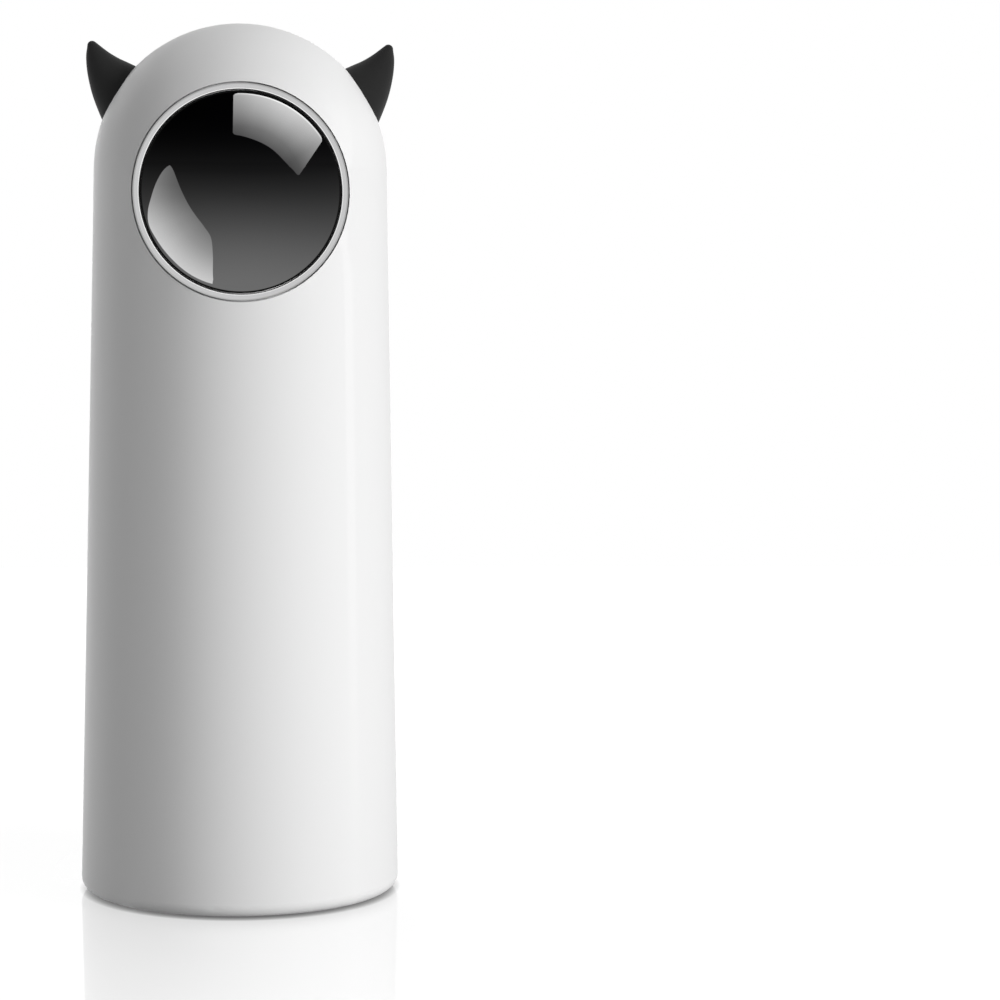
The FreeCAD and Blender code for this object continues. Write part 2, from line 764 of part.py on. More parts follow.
def tact_switches():
    switches = []
    for name in button_names:
        z = button_heights[name]
        body = block((-switch_size / 2, switch_size / 2), (board_back, switch_back),
                     (z - switch_size / 2, z + switch_size / 2))
        well = rod(plunger_radius + shaft_gap, switch_back - switch_well, reach, (0, z), "y")
        switches.append(body.cut(well))
    return Part.makeCompound(switches)


def switch_plunger(name):
    foot = switch_back - switch_well + button_travel + plunger_float
    return rod(plunger_radius, foot, plunger_end, (0, button_heights[name]), "y")


def button_cap(name):
    """Cap whose face follows the casing, with a flange behind the wall and a stem."""
    z = button_heights[name]
    radius = button_radii[name]
    flange_out = wall + button_flange_gap
    flange_in = flange_out + button_flange_thickness
    cap = between(rod(radius, 0, reach, (0, z), "y"), 0, flange_in)
    flange = between(rod(radius + button_flange, 0, reach, (0, z), "y"), flange_out, flange_in)
    stem = rod(button_stem_radius, plunger_end, reach, (0, z), "y").common(form(flange_out))
    return cap.multiFuse([flange, stem]).removeSplitter()


def usb_port():
    width, height = usb_shell
    inner = (width / 2 - usb_shell_wall, height / 2 - usb_shell_wall)
    outer = rounded_block((-width / 2, width / 2),
                          (usb_height - height / 2, usb_height + height / 2),
                          board_back, board_back + usb_shell_length,
                          height / 2 - usb_shell_flat)
    hollow = rounded_block((-inner[0], inner[0]), (usb_height - inner[1], usb_height + inner[1]),
                           board_back + usb_floor, reach, inner[1] - usb_shell_flat)
    return outer.cut(hollow)


def usb_tongue():
    half = usb_tongue_thickness / 2
    return block((-usb_tongue_width / 2, usb_tongue_width / 2),
                 (board_back + usb_floor, board_back + usb_shell_length - usb_tongue_setback),
                 (usb_height - half, usb_height + half))


def status_leds():
    wide, high, tall = led_size
    return Part.makeCompound([block((x - wide / 2, x + wide / 2), (board_back, board_back + high),
                                    (z - tall / 2, z + tall / 2)) for x, z in indicator_places])


def indicator_lenses():
    """Light pipes from the LEDs to just inside the casing's face."""
    pipes = []
    start = board_back + led_size[1] + pipe_gap
    for x, z in indicator_places:
        face = math.sqrt((base_radius - z * math.tan(draft)) ** 2 - x ** 2)
        pipes.append(rod(indicator_radius, start, face - indicator_inset, (x, z), "y"))
    return Part.makeCompound(pipes)


def board_components():
    """Controller, charger chip, coil and two capacitors on the board's front."""
    chips = [block(wide, (board_front - high, board_front), (board_low + low, board_low + top))
             for wide, (low, top), high in board_chips]
    radius, height = capacitor_size
    cans = [rod(radius, board_front - height, board_front, (x, board_low + z), "y")
            for x, z in capacitor_places]
    return Part.makeCompound(chips + cans)


# ---------------------------------------------------------------- tilting head

pad_middle = (pad_low_latitude + pad_high_latitude) / 2
pad_peg_places = [(x, dome_z + dome_radius * math.sin(math.radians(pad_middle)))
                  for x in (-pad_peg_reach, pad_peg_reach)]
shutter_screw_places = [(x, dome_z - shutter_screw_drop)
                        for x in (-shutter_screw_reach, shutter_screw_reach)]
clamp_screw_places = [(x, laser_y) for x in (-clamp_screw_reach, clamp_screw_reach)]
pillar_places = [(side * x, y) for x, y in pillar_pairs for side in (-1, 1)]
idler_centre = (0, -gear_spread)


def ball(radius):
    """Ball round the centre of the dome."""
    return Part.makeSphere(radius, V(0, 0, dome_z))


def pivot_screws():
    right = screw(pivot_screw, V(fork_outer, 0, dome_z), (-1, 0, 0))
    return Part.makeCompound(both_sides(right))


def friction_washers():
    washer = tube(washer_radius, pivot_screw.shank + washer_play, cheek_outer + shaft_gap,
                  fork_inner - shaft_gap, (0, dome_z), "x")
    return Part.makeCompound(both_sides(washer))


def tilt_cradle():
    """Two cheeks on the pivot, with the mirror deck, the laser shelf and the rear bar."""
    cheek_inner = cheek_outer - cheek_thickness
    low = shelf_z - shelf_thickness
    front, back = (laser_y + end for end in shelf_ends)
    bar_low, bar_high = (dome_z + height for height in bar_heights)
    top_half, top_rise = cheek_top
    top = dome_z + top_rise
    outline = [(front, low), (back, low), (0, dome_z - cheek_waist_drop), (bar_back, bar_low),
               (bar_back, bar_high), (top_half, top), (-top_half, top),
               (front, dome_z + cheek_front_rise)]
    cheek = side_plate(outline, cheek_inner, cheek_outer)
    cheek = cheek.cut(rod(pivot_screw.shank + shaft_gap, 0, reach, (0, dome_z), "x"))
    hole_radius, hole_y, hole_rise = cheek_hole
    cheek = cheek.cut(rod(hole_radius, 0, reach, (hole_y, dome_z + hole_rise), "x"))
    inside = (-cheek_inner, cheek_inner)
    shelf = block(inside, (front, back), (low, shelf_z))
    shelf = shelf.cut(rod(laser_radius + laser_gap, 0, dome_z, (0, laser_y)))
    deck = block(inside, deck_ends, (deck_low, deck_high)).cut(rod(deck_bore, 0, reach))
    rear_bar = block(inside, (bar_front, bar_back), (bar_low, bar_high))
    frame = fuse(both_sides(cheek) + [shelf, on_shaft(deck), rear_bar])
    holes = [on_shaft(rod(gearbox_screw.shank + shaft_gap, 0, deck_high + spare, spot))
             for spot in pillar_places]
    holes += [rod(clamp_screw.shank + shaft_gap, low - spare, shelf_z + spare, spot)
              for spot in clamp_screw_places]
    holes += [rod(shutter_screw.shank + shaft_gap, bar_front - spare, bar_back + spare, spot, "y")
              for spot in shutter_screw_places]
    return frame.cut(Part.makeCompound(holes))


def slot_shutter():
    """Curved shutter behind the rear slot, on two ribs from the cradle's rear bar."""
    outer = inner_radius - shutter_gap
    inner = outer - shutter_thickness
    low_latitude = pad_low_latitude - tilt_travel - shutter_low_margin
    shell = ball(outer).cut(ball(inner))
    band = side_plate([(0, dome_z)] + [(reach * math.cos(math.radians(a)),
                                        dome_z + reach * math.sin(math.radians(a)))
                                       for a in (low_latitude, shutter_top_latitude)],
                      -shutter_width / 2, shutter_width / 2)
    plate = shell.common(band)
    middle = dome_z - shutter_screw_drop
    rib = block(shutter_rib, (bar_back, reach),
                (middle - shutter_rib_half_height, middle + shutter_rib_half_height))
    ribs = [part.common(ball(inner + sink)) for part in both_sides(rib)]
    half_width, _, half_height = shutter_foot
    foot = block((-half_width, half_width), (bar_back, foot_face),
                 (middle - half_height, middle + half_height))
    foot = foot.cut(Part.makeCompound([rod(shutter_screw.shank + screw_gap, 0, reach, spot, "y")
                                       for spot in shutter_screw_places]))
    pegs = Part.makeCompound([rod(pad_peg_radius + shaft_gap, 0, reach, spot, "y")
                              for spot in pad_peg_places])
    return fuse([plate, foot] + ribs).cut(pegs)


def shutter_screws():
    return Part.makeCompound([screw(shutter_screw, V(x, foot_face, z), (0, -1, 0))
                              for x, z in shutter_screw_places])


def thumb_pad():
    """Pad through the slot, with rows of bumps and two pegs into the shutter."""
    width = slot_width - 2 * pad_gap
    outer = dome_radius + pad_proud
    inner = inner_radius - shutter_gap + press_gap
    corner = slot_bottom_round - pad_gap
    prism = slot_prism(pad_low_latitude, pad_high_latitude, width, corner, corner,
                       inner - spare, outer + spare)
    pad = prism.common(ball(outer)).cut(ball(inner))
    step = math.degrees(bump_pitch_up / outer)
    bumps = []
    for row in range(bump_rows):
        latitude = pad_middle + (row - (bump_rows - 1) / 2) * step
        for column in range(bump_rows):
            x = (column - (bump_rows - 1) / 2) * bump_pitch_across
            level = math.sqrt(outer ** 2 - x ** 2)
            bumps.append(at_back(bump(x, level), latitude))
    pegs = [rod(pad_peg_radius, 0, reach, spot, "y").common(ball(inner + sink))
            .cut(ball(inner - shutter_thickness)) for spot in pad_peg_places]
    return pad.multiFuse(bumps + pegs)


def laser_module():
    body = rod(laser_radius, laser_bottom, laser_top, (0, laser_y))
    return body.cut(rod(laser_bore[0], laser_bore_floor, laser_top + spare, (0, laser_y)))


def laser_lens():
    return rod(laser_bore[0] - press_gap, laser_bore_floor,
               laser_bore_floor + laser_lens_thickness, (0, laser_y))


def laser_board():
    wide, deep, thick = laser_board_size
    return block((-wide / 2, wide / 2), (laser_y - deep / 2, laser_y + deep / 2),
                 (laser_bottom - thick, laser_bottom))


def laser_clamp():
    collar = rod(clamp_radius, shelf_z, shelf_z + clamp_height, (0, laser_y))
    wide, deep, thick = clamp_ears
    ears = block((-wide / 2, wide / 2), (laser_y - deep / 2, laser_y + deep / 2),
                 (shelf_z, shelf_z + thick))
    holes = [rod(laser_radius + press_gap, 0, dome_z, (0, laser_y))]
    holes += [rod(clamp_screw.shank + screw_gap, 0, dome_z, spot) for spot in clamp_screw_places]
    return collar.fuse(ears).cut(Part.makeCompound(holes))


def laser_clamp_screws():
    top = shelf_z + clamp_ears[2]
    return Part.makeCompound([screw(clamp_screw, V(x, y, top), (0, 0, -1))
                              for x, y in clamp_screw_places])


# ---------------------------------------------------------------- gear train


def gearbox_outline(low, high):
    """Plate of the gearbox, with rounded corners."""
    plate = block((-gearbox_half_width, gearbox_half_width), gearbox_ends, (low, high))
    uprights = [e for e in plate.Edges if abs(e.tangentAt(e.FirstParameter).z) > 0.99]
    return plate.makeFillet(gearbox_corner, uprights)


def gearbox_front_plate():
    """Front plate with the pillars that carry the rear plate."""
    pillars = [rod(pillar_radius, deck_high, rear_plate_low, spot) for spot in pillar_places]
    plate = fuse([gearbox_outline(deck_high, front_plate_high)] + pillars)
    holes = [rod(gearbox_screw.shank + screw_gap, 0, reach, spot) for spot in pillar_places]
    holes.append(rod(bush_radius + press_gap, 0, reach))
    holes.append(rod(axle_radius + press_gap, 0, reach, idler_centre))
    return on_shaft(plate.cut(Part.makeCompound(holes)))


def gearbox_rear_plate():
    plate = gearbox_outline(rear_plate_low, rear_plate_high)
    holes = [rod(gearbox_screw.shank + screw_gap, 0, reach, spot) for spot in pillar_places]
    holes.append(rod(motor_boss[0] + shaft_gap, 0, reach))
    holes.append(rod(axle_radius + press_gap, 0, reach, idler_centre))
    holes += [rod(motor_screw.shank + screw_gap, 0, reach, (x, 0))
              for x in (-motor_screw_reach, motor_screw_reach)]
    return on_shaft(plate.cut(Part.makeCompound(holes)))


def gearbox_screws():
    return Part.makeCompound([screw(gearbox_screw, shaft_point(x, y, rear_plate_high), -shaft_way)
                              for x, y in pillar_places])


def motor_screws():
    return Part.makeCompound([screw(motor_screw, shaft_point(x, 0, rear_plate_low), shaft_way)
                              for x in (-motor_screw_reach, motor_screw_reach)])


def drive_motor():
    """Small can motor with its boss in the rear plate."""
    end = rear_plate_high + motor_length
    can = rod(motor_radius, rear_plate_high, end)
    boss = rod(motor_boss[0], rear_plate_high - motor_boss[1], rear_plate_high + sink)
    cap = rod(motor_end_cap[0], end - sink, end + motor_end_cap[1])
    wide, thick, long = motor_tab
    tabs = [block((x - wide / 2, x + wide / 2), (-thick / 2, thick / 2), (end, end + long))
            for x in (-motor_tab_reach, motor_tab_reach)]
    motor = fuse([can, boss, cap] + tabs)
    holes = [rod(axle_radius + shaft_gap, 0, rear_plate_high + motor_shaft_depth)]
    holes += [rod(motor_screw.shank + shaft_gap, 0,
                  rear_plate_low + motor_screw.length + screw_gap, (x, 0))
              for x in (-motor_screw_reach, motor_screw_reach)]
    return on_shaft(motor.cut(Part.makeCompound(holes)))


def gear(teeth, low, high, centre, shift, phase):
    """Involute spur gear; phase turns it, in degrees, from a tooth on +Y."""
    pitch = gear_module * teeth / 2
    base = pitch * math.cos(pressure_angle)
    tip = pitch + gear_module * (tooth_addendum + shift)
    root = pitch - gear_module * (tooth_dedendum - shift)
    half_tooth = (math.pi / 2 + 2 * shift * math.tan(pressure_angle)) / teeth
    half_tooth -= backlash / (2 * pitch)
    involute = math.tan(pressure_angle) - pressure_angle

    def half_width(radius):
        roll = math.acos(min(1.0, base / radius))
        return half_tooth + involute - (math.tan(roll) - roll)

    radii = [root] + [base + (tip - base) * step / flank_steps for step in range(flank_steps + 1)]
    corners = []
    for tooth in range(teeth):
        middle = math.radians(phase + 90) + 2 * math.pi * tooth / teeth
        flank = [(radius, -half_width(radius)) for radius in radii]
        flank += [(radius, half_width(radius)) for radius in reversed(radii)]
        corners += [V(centre[0] + radius * math.cos(middle + angle),
                      centre[1] + radius * math.sin(middle + angle), low)
                    for radius, angle in flank]
    face = Part.Face(Part.makePolygon(corners + corners[:1]))
    return face.extrude(V(0, 0, high - low))


def output_gear():
    wheel = gear(wheel_teeth, wheel_low, wheel_high, (0, 0), -tooth_shift, 0)
    hub = rod(hub_radius, front_plate_high + slide_gap, wheel_high + hub_rise)
    return on_shaft(wheel.fuse(hub).cut(rod(mirror_shaft_radius + press_gap, 0, reach)))


def idler_gear():
    """Compound gear: its pinion meshes with the output wheel, its wheel with the motor."""
    step = 360 / pinion_teeth / 2
    small = gear(pinion_teeth, wheel_low, idler_low + sink, idler_centre, tooth_shift, step)
    large = gear(wheel_teeth, idler_low, idler_high, idler_centre, -tooth_shift, 0)
    hub = rod(idler_hub_radius, front_plate_high + slide_gap, rear_plate_low - slide_gap,
              idler_centre)
    bore = rod(axle_radius + shaft_gap, 0, reach, idler_centre)
    return on_shaft(fuse([small, large, hub]).cut(bore))


def motor_pinion():
    step = 360 / pinion_teeth / 2
    pinion = gear(pinion_teeth, idler_low + slide_gap, idler_high + hub_rise, (0, 0),
                  tooth_shift, step)
    return on_shaft(pinion.cut(rod(axle_radius + press_gap, 0, reach)))


def tilted_disc(radius, low, high):
    disc = rod(radius, low, high)
    disc.rotate(V(0, 0, 0), V(1, 0, 0), mirror_wobble)
    return disc


def mirror_holder():
    disc = tilted_disc(mirror_radius + holder_rim, mirror_thickness, holder_back)
    hub = rod(hub_radius, holder_back - sink, deck_high - bush_lip - slide_gap)
    bore = rod(mirror_shaft_radius + press_gap, holder_back - slide_gap, reach)
    return on_shaft(disc.fuse(hub).cut(bore))


parts = {
    "main_housing": main_housing(),
    "lens_bezel": lens_bezel(),
    "lens_window": lens_window(),
    "base_cap": base_cap(),
    "base_screws": base_screws(),
    "battery_door": battery_door(),
    "battery_contacts_front": battery_contacts(-1),
    "battery_contacts_rear": battery_contacts(1),
    "chassis_frame": chassis_frame(),
    "chassis_screws": chassis_screws(),
    "main_board": main_board(),
    "board_screws": board_screws(),
    "board_components": board_components(),
    "tact_switches": tact_switches(),
    "usb_port": usb_port(),
    "usb_tongue": usb_tongue(),
    "status_leds": status_leds(),
    "indicator_lenses": indicator_lenses(),
    "pivot_screws": pivot_screws(),
    "friction_washers": friction_washers(),
    "tilt_cradle": tilt_cradle(),
    "slot_shutter": slot_shutter(),
    "shutter_screws": shutter_screws(),
    "thumb_pad": thumb_pad(),
    "laser_module": laser_module(),
    "laser_lens": laser_lens(),
    "laser_board": laser_board(),
    "laser_clamp": laser_clamp(),
    "laser_clamp_screws": laser_clamp_screws(),
    "gearbox_front_plate": gearbox_front_plate(),
    "gearbox_rear_plate": gearbox_rear_plate(),
    "gearbox_screws": gearbox_screws(),
    "drive_motor": drive_motor(),
    "motor_screws": motor_screws(),
    "idler_axle": on_shaft(rod(axle_radius, deck_high, rear_plate_high, idler_centre)),
    "output_bush": on_shaft(tube(bush_radius, mirror_shaft_radius + shaft_gap,
                                 deck_high - bush_lip, front_plate_high)),
    "output_gear": output_gear(),
    "mirror_shaft": on_shaft(rod(mirror_shaft_radius, holder_back, wheel_high + hub_rise)),
    "mirror_holder": mirror_holder(),
    "mirror": on_shaft(tilted_disc(mirror_radius, 0, mirror_thickness)),
    "idler_gear": idler_gear(),
    "motor_pinion": motor_pinion(),
    "motor_shaft": on_shaft(rod(axle_radius, idler_low + slide_gap,
                                rear_plate_high + motor_shaft_depth - slide_gap)),
}
parts["horn_left"], parts["horn_right"] = reversed(both_sides(horn()))
for name, shape in zip(("foot_front", "foot_left", "foot_right"), foot_outlines()):
    parts[name] = shape
for name, row in (("left", -1), ("middle", 0), ("right", 1)):
    parts["battery_cell_" + name] = battery_cell(row * cell_pitch, -1 if row == 0 else 1)
for name in button_names:
    parts["button_" + name] = button_cap(name)
    parts["switch_plunger_" + name] = switch_plunger(name)

os.makedirs("parts", exist_ok=True)
for name, shape in parts.items():
    shape.exportStep(os.path.join("parts", name + ".step"))
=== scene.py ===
import json
import math

import bpy
from mathutils import Matrix, Vector


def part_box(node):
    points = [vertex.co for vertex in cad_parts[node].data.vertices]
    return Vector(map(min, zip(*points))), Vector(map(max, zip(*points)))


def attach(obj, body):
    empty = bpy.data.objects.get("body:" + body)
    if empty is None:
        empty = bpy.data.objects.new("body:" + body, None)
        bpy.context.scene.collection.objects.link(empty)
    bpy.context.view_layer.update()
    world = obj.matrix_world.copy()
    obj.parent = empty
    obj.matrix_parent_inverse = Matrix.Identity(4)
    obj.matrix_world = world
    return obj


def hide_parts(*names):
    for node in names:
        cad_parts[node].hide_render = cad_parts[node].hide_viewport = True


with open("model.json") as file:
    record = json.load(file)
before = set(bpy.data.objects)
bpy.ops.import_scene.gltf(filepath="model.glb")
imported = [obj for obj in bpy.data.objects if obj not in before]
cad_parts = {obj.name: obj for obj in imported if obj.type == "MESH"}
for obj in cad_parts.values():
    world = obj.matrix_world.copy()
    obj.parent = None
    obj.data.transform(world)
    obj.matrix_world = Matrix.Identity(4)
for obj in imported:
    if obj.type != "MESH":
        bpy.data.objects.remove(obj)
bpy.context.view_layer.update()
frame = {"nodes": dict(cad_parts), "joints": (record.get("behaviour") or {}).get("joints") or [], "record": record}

# ---------------------------------------------------------------- sizes, in metres

MM = 0.001

# the casing's form, from the frame
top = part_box("main_housing")[1].z
tilt = next(joint for joint in frame["joints"] if joint["name"] == "head_tilt")
dome_z = tilt["pos_m"][2]
dome_radius = top - dome_z
draft = math.radians(1.17)
shoulder_z = dome_z + dome_radius * math.sin(draft)

# camera: in front of the object, turned so that the object stands at the left of the frame
camera_place = Vector((0.0, -758.1 * MM, 165.1 * MM))
camera_yaw = 0.08415
camera_pitch = 0.0904
camera_roll = 0.008
camera_lens = 111.15
camera_sensor = 36.0
camera_clip = 10 * MM

# window
window_low, window_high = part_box("lens_window")
window_z = (window_low.z + window_high.z) / 2
ring_gap = 0.25 * MM            # dark line on either side of the ring
window_radius = (window_high.x - window_low.x) / 2 - ring_gap
window_bulge = 1.2 * MM
window_inset = 0.15 * MM
window_edge = 0.2 * MM
window_edge_turns = (0, 30, 60, 90)
# the level strip and the rolled edge are matte black: painted shade where the window meets the ring
window_land = 0.2 * MM          # level strip of the black border before the rolled edge
window_depth = 1.1 * MM
window_rings = 48
window_segments = 256

# ring round the window, with a lighter copy of its metal on the inner chamfer as a painted highlight and a darker
# copy on its outer shoulder as painted shade
ring_width = 1.6 * MM
ring_chamfer = 0.3 * MM
ring_round = 0.4 * MM
ring_round_turns = (90, 75, 60, 45, 30, 15, 0)
ring_rise = 0.25 * MM

# horns: the two edges of the right horn's outline, as (x, z) from root to round tip
horn_inner_edge = [(24.2, 201.0), (27.3, 202.4), (29.5, 203.4), (32.0, 204.9), (35.05, 207.2)]
horn_outer_edge = [(32.6, 186.7), (34.1, 190.0), (35.8, 194.6), (36.9, 199.4), (37.25, 203.4),
                   (36.95, 206.2)]
horn_tip_radius = 1.18 * MM
horn_depth = 7.3 * MM
horn_depth_power = 0.9          # how its depth follows its width up to the tip
horn_rings = 40
horn_cap_rings = 8
horn_segments = 64

# feet
foot_weld = 0.001 * MM
foot_round = 0.25 * MM
foot_round_steps = 3
foot_edge_angle = 40.0

# USB socket's shell: depths, then half width, half height and rounding above and below
socket_back = 29.0 * MM
socket_floor = 30.0 * MM
socket_neck = 36.3 * MM
socket_mouth = 38.1 * MM
socket_lip = 0.12 * MM
socket_lip_front = (0.3, 0.7)   # shares of the wall between which the lip's front is flat
socket_body = (4.47 * MM, 1.63 * MM, 1.43 * MM, 1.43 * MM)
socket_bore = (4.17 * MM, 1.33 * MM, 1.13 * MM, 1.13 * MM)
socket_rim = (5.75 * MM, 1.75 * MM, 0.6 * MM, 1.3 * MM)
socket_wall = 0.42 * MM
least_rounding = 0.05 * MM
corner_steps = 8

# marks on the buttons and beside the lights
mark_height = 0.3 * MM
mark_sink = 0.1 * MM
mark_round = 0.1 * MM
stroke = 0.6 * MM
serif = 0.48 * MM
numeral_height = 5.0 * MM
numeral_pitch = 2.0 * MM
serif_reach = 0.55 * MM
power_radius = 4.03 * MM
power_drop = 0.2 * MM
power_stroke = 0.88 * MM
power_gap = 31.0
power_steps = 48
power_bar = (0.2 * MM, 5.25 * MM)
chevron_size = (0.75 * MM, 1.1 * MM)
chevron_stroke = 0.45 * MM
chevron_drop = 2.35 * MM
chevron_pitch = 0.85 * MM
light_radius = 0.6 * MM

# materials
noise_range = (0.3, 0.7)        # where most of a noise texture's values lie
gloss_spread = 0.08
bump_strength = 0.5

# studio
ambient = 0.075
lamp_spread = 18.0
# name, azimuth, elevation and strength; azimuth 0 is in front and 90 at the object's right
lamps = (("key", 60, 20, 1.49), ("front", 40, 5, 1.5), ("left_back", -110, 5, 0.94),
         ("back", -170, 50, 1.0), ("back_right", -160, 5, 1.15))
floor_reach = 0.7
floor_glow = 1.03
floor_albedo = 0.2
floor_gloss = 0.03
floor_ior = 1.8
contact_reach = 2 * MM
contact_share = 0.85
contact_samples = 16
reflection_near = 45 * MM
reflection_far = 480 * MM
reflection_gain = 1.2
card_distance = 85 * MM
card_rows = 72
card_columns = 64
card_rounding = 0.05            # share of a card's length over which its ends are rounded

# what the window mirrors: light against the height of the direction, bright low down
mirrored_light = ((-0.16, 1.28), (-0.137, 1.2), (-0.1, 1.03), (-0.063, 0.82), (-0.026, 0.585),
                  (0.011, 0.375), (0.047, 0.205), (0.066, 0.142), (0.084, 0.094), (0.103, 0.058),
                  (0.19, 0.044), (0.31, 0.028), (0.43, 0.016), (0.55, 0.008), (0.7, 0.002),
                  (1.1, 0.0))
mirror_end = (0.25, 0.35)       # directions further back than this meet the white again


# ---------------------------------------------------------------- the casing's form


def node_centre(name):
    """Middle of a node's box, across and up."""
    low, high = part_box(name)
    return (low.x + high.x) / 2, (low.z + high.z) / 2


def casing_radius(z):
    """Radius of the casing at a height: a cone up to the shoulder, a ball above it."""
    if z < shoulder_z:
        return (dome_radius - (z - dome_z) * math.sin(draft)) / math.cos(draft)
    return math.sqrt(max(dome_radius ** 2 - (z - dome_z) ** 2, 0.0))


def casing_y(x, z):
    """Distance of the casing's face from the middle plane, at a width and a height."""
    return math.sqrt(max(casing_radius(z) ** 2 - x ** 2, 0.0))


def window_face(x, z):
    """Point on the window's slightly domed face."""
    share = (x ** 2 + (z - window_z) ** 2) / window_radius ** 2
    return Vector((x, -casing_y(x, z) + window_inset - window_bulge * (1 - share), z))


def window_normal(x, z):
    """Direction that the window faces at a point."""
    step = 0.02 * MM
    across = window_face(x + step, z) - window_face(x - step, z)
    up = window_face(x, z + step) - window_face(x, z - step)
    return across.cross(up).normalized()


# ---------------------------------------------------------------- mesh helpers


def mesh_object(name, points, faces, smooth=True):
    """New object from points and faces, in the scene."""
    mesh = bpy.data.meshes.new(name)
    mesh.from_pydata([tuple(p) for p in points], [], faces)
    mesh.validate()
    for polygon in mesh.polygons:
        polygon.use_smooth = smooth
    made = bpy.data.objects.new(name, mesh)
    bpy.context.scene.collection.objects.link(made)
    return made


def paint(made, plain, row=0, *bands):
    """Give a mesh its material, and other materials to bands of its rows of faces.

    Each row has the same number of faces. A band is (material, first row, row after its last).
    """
    made.data.materials.append(plain)
    for index, (material, first, end) in enumerate(bands, start=1):
        made.data.materials.append(material)
        for polygon in made.data.polygons[first * row:end * row]:
            polygon.material_index = index


def ring_faces(rings, segments):
    """Quads between neighbouring rings of points."""
    return [(r * segments + s, r * segments + (s + 1) % segments,
             (r + 1) * segments + (s + 1) % segments, (r + 1) * segments + s)
            for r in range(rings - 1) for s in range(segments)]


def smooth_path(corners, count):
    """Points along a Catmull-Rom curve through the corners."""
    padded = [corners[0] * 2 - corners[1]] + corners + [corners[-1] * 2 - corners[-2]]
    spans = len(corners) - 1
    points = []
    for i in range(count):
        place = i / (count - 1) * spans
        span = min(int(place), spans - 1)
        t = place - span
        a, b, c, d = padded[span:span + 4]
        points.append(0.5 * (2 * b + (c - a) * t + (2 * a - 5 * b + 4 * c - d) * t ** 2
                             + (3 * b - a - 3 * c + d) * t ** 3))
    return points


# ---------------------------------------------------------------- materials


def link(tree, source, target):
    tree.links.new(source, target)


def noise(tree, size, detail=3.0, stretch=(1, 1, 1)):
    """Noise texture whose features have a size in metres, fixed to the object."""
    place = tree.nodes.new("ShaderNodeTexCoord")
    mapping = tree.nodes.new("ShaderNodeMapping")
    mapping.inputs["Scale"].default_value = stretch
    texture = tree.nodes.new("ShaderNodeTexNoise")
    texture.inputs["Scale"].default_value = 1 / size
    texture.inputs["Detail"].default_value = detail
    link(tree, place.outputs["Object"], mapping.inputs["Vector"])
    link(tree, mapping.outputs["Vector"], texture.inputs["Vector"])
    return texture.outputs["Fac"]


def mapped(tree, value, source, target=(0.0, 1.0), kind="LINEAR"):
    """Number that runs over the target range while a value runs over the source range."""
    spread = tree.nodes.new("ShaderNodeMapRange")
    spread.interpolation_type = kind
    spread.inputs["From Min"].default_value = source[0]
    spread.inputs["From Max"].default_value = source[1]
    spread.inputs["To Min"].default_value = target[0]
    spread.inputs["To Max"].default_value = target[1]
    link(tree, value, spread.inputs["Value"])
    return spread.outputs["Result"]


def blend_colours(tree, factor, low, high):
    """Colour that runs from one to another with a factor."""
    mix = tree.nodes.new("ShaderNodeMix")
    mix.data_type = "RGBA"
    mix.inputs["A"].default_value = (*low, 1)
    mix.inputs["B"].default_value = (*high, 1)
    link(tree, factor, mix.inputs["Factor"])
    return mix.outputs["Result"]


def through_stops(tree, value, stops):
    """Number that follows smooth stops of (value, level)."""
    low, high = stops[0][0], stops[-1][0]
    peak = max(level for _, level in stops)
    curve = tree.nodes.new("ShaderNodeFloatCurve")
    line = curve.mapping.curves[0]
    line.points[0].location = (0, stops[0][1] / peak)
    line.points[-1].location = (1, stops[-1][1] / peak)
    for place, level in stops[1:-1]:
        line.points.new((place - low) / (high - low), level / peak)
    curve.mapping.update()
    link(tree, mapped(tree, value, (low, high)), curve.inputs["Value"])
    return arithmetic(tree, "MULTIPLY", curve.outputs["Value"], peak)


def arithmetic(tree, operation, *values):
    """Result of one operation on sockets and plain numbers."""
    node = tree.nodes.new("ShaderNodeMath")
    node.operation = operation
    for value, socket in zip(values, node.inputs):
        if isinstance(value, (int, float)):
            socket.default_value = value
        else:
            link(tree, value, socket)
    return node.outputs[0]


def mixed_shaders(tree, factor, first, second):
    """Shader that goes from the first to the second with a factor."""
    mix = tree.nodes.new("ShaderNodeMixShader")
    link(tree, factor, mix.inputs["Fac"])
    link(tree, first, mix.inputs[1])
    link(tree, second, mix.inputs[2])
    return mix.outputs[0]


def bare_material(name):
    """New material, its otherwise empty node tree and the socket that its shader goes to."""
    material = bpy.data.materials.new(name)
    material.use_nodes = True
    tree = material.node_tree
    tree.nodes.clear()
    return material, tree, tree.nodes.new("ShaderNodeOutputMaterial").inputs["Surface"]


def shaded(colour, factor):
    """Colour made lighter or darker by a factor."""
    return tuple(min(part * factor, 1.0) for part in colour)


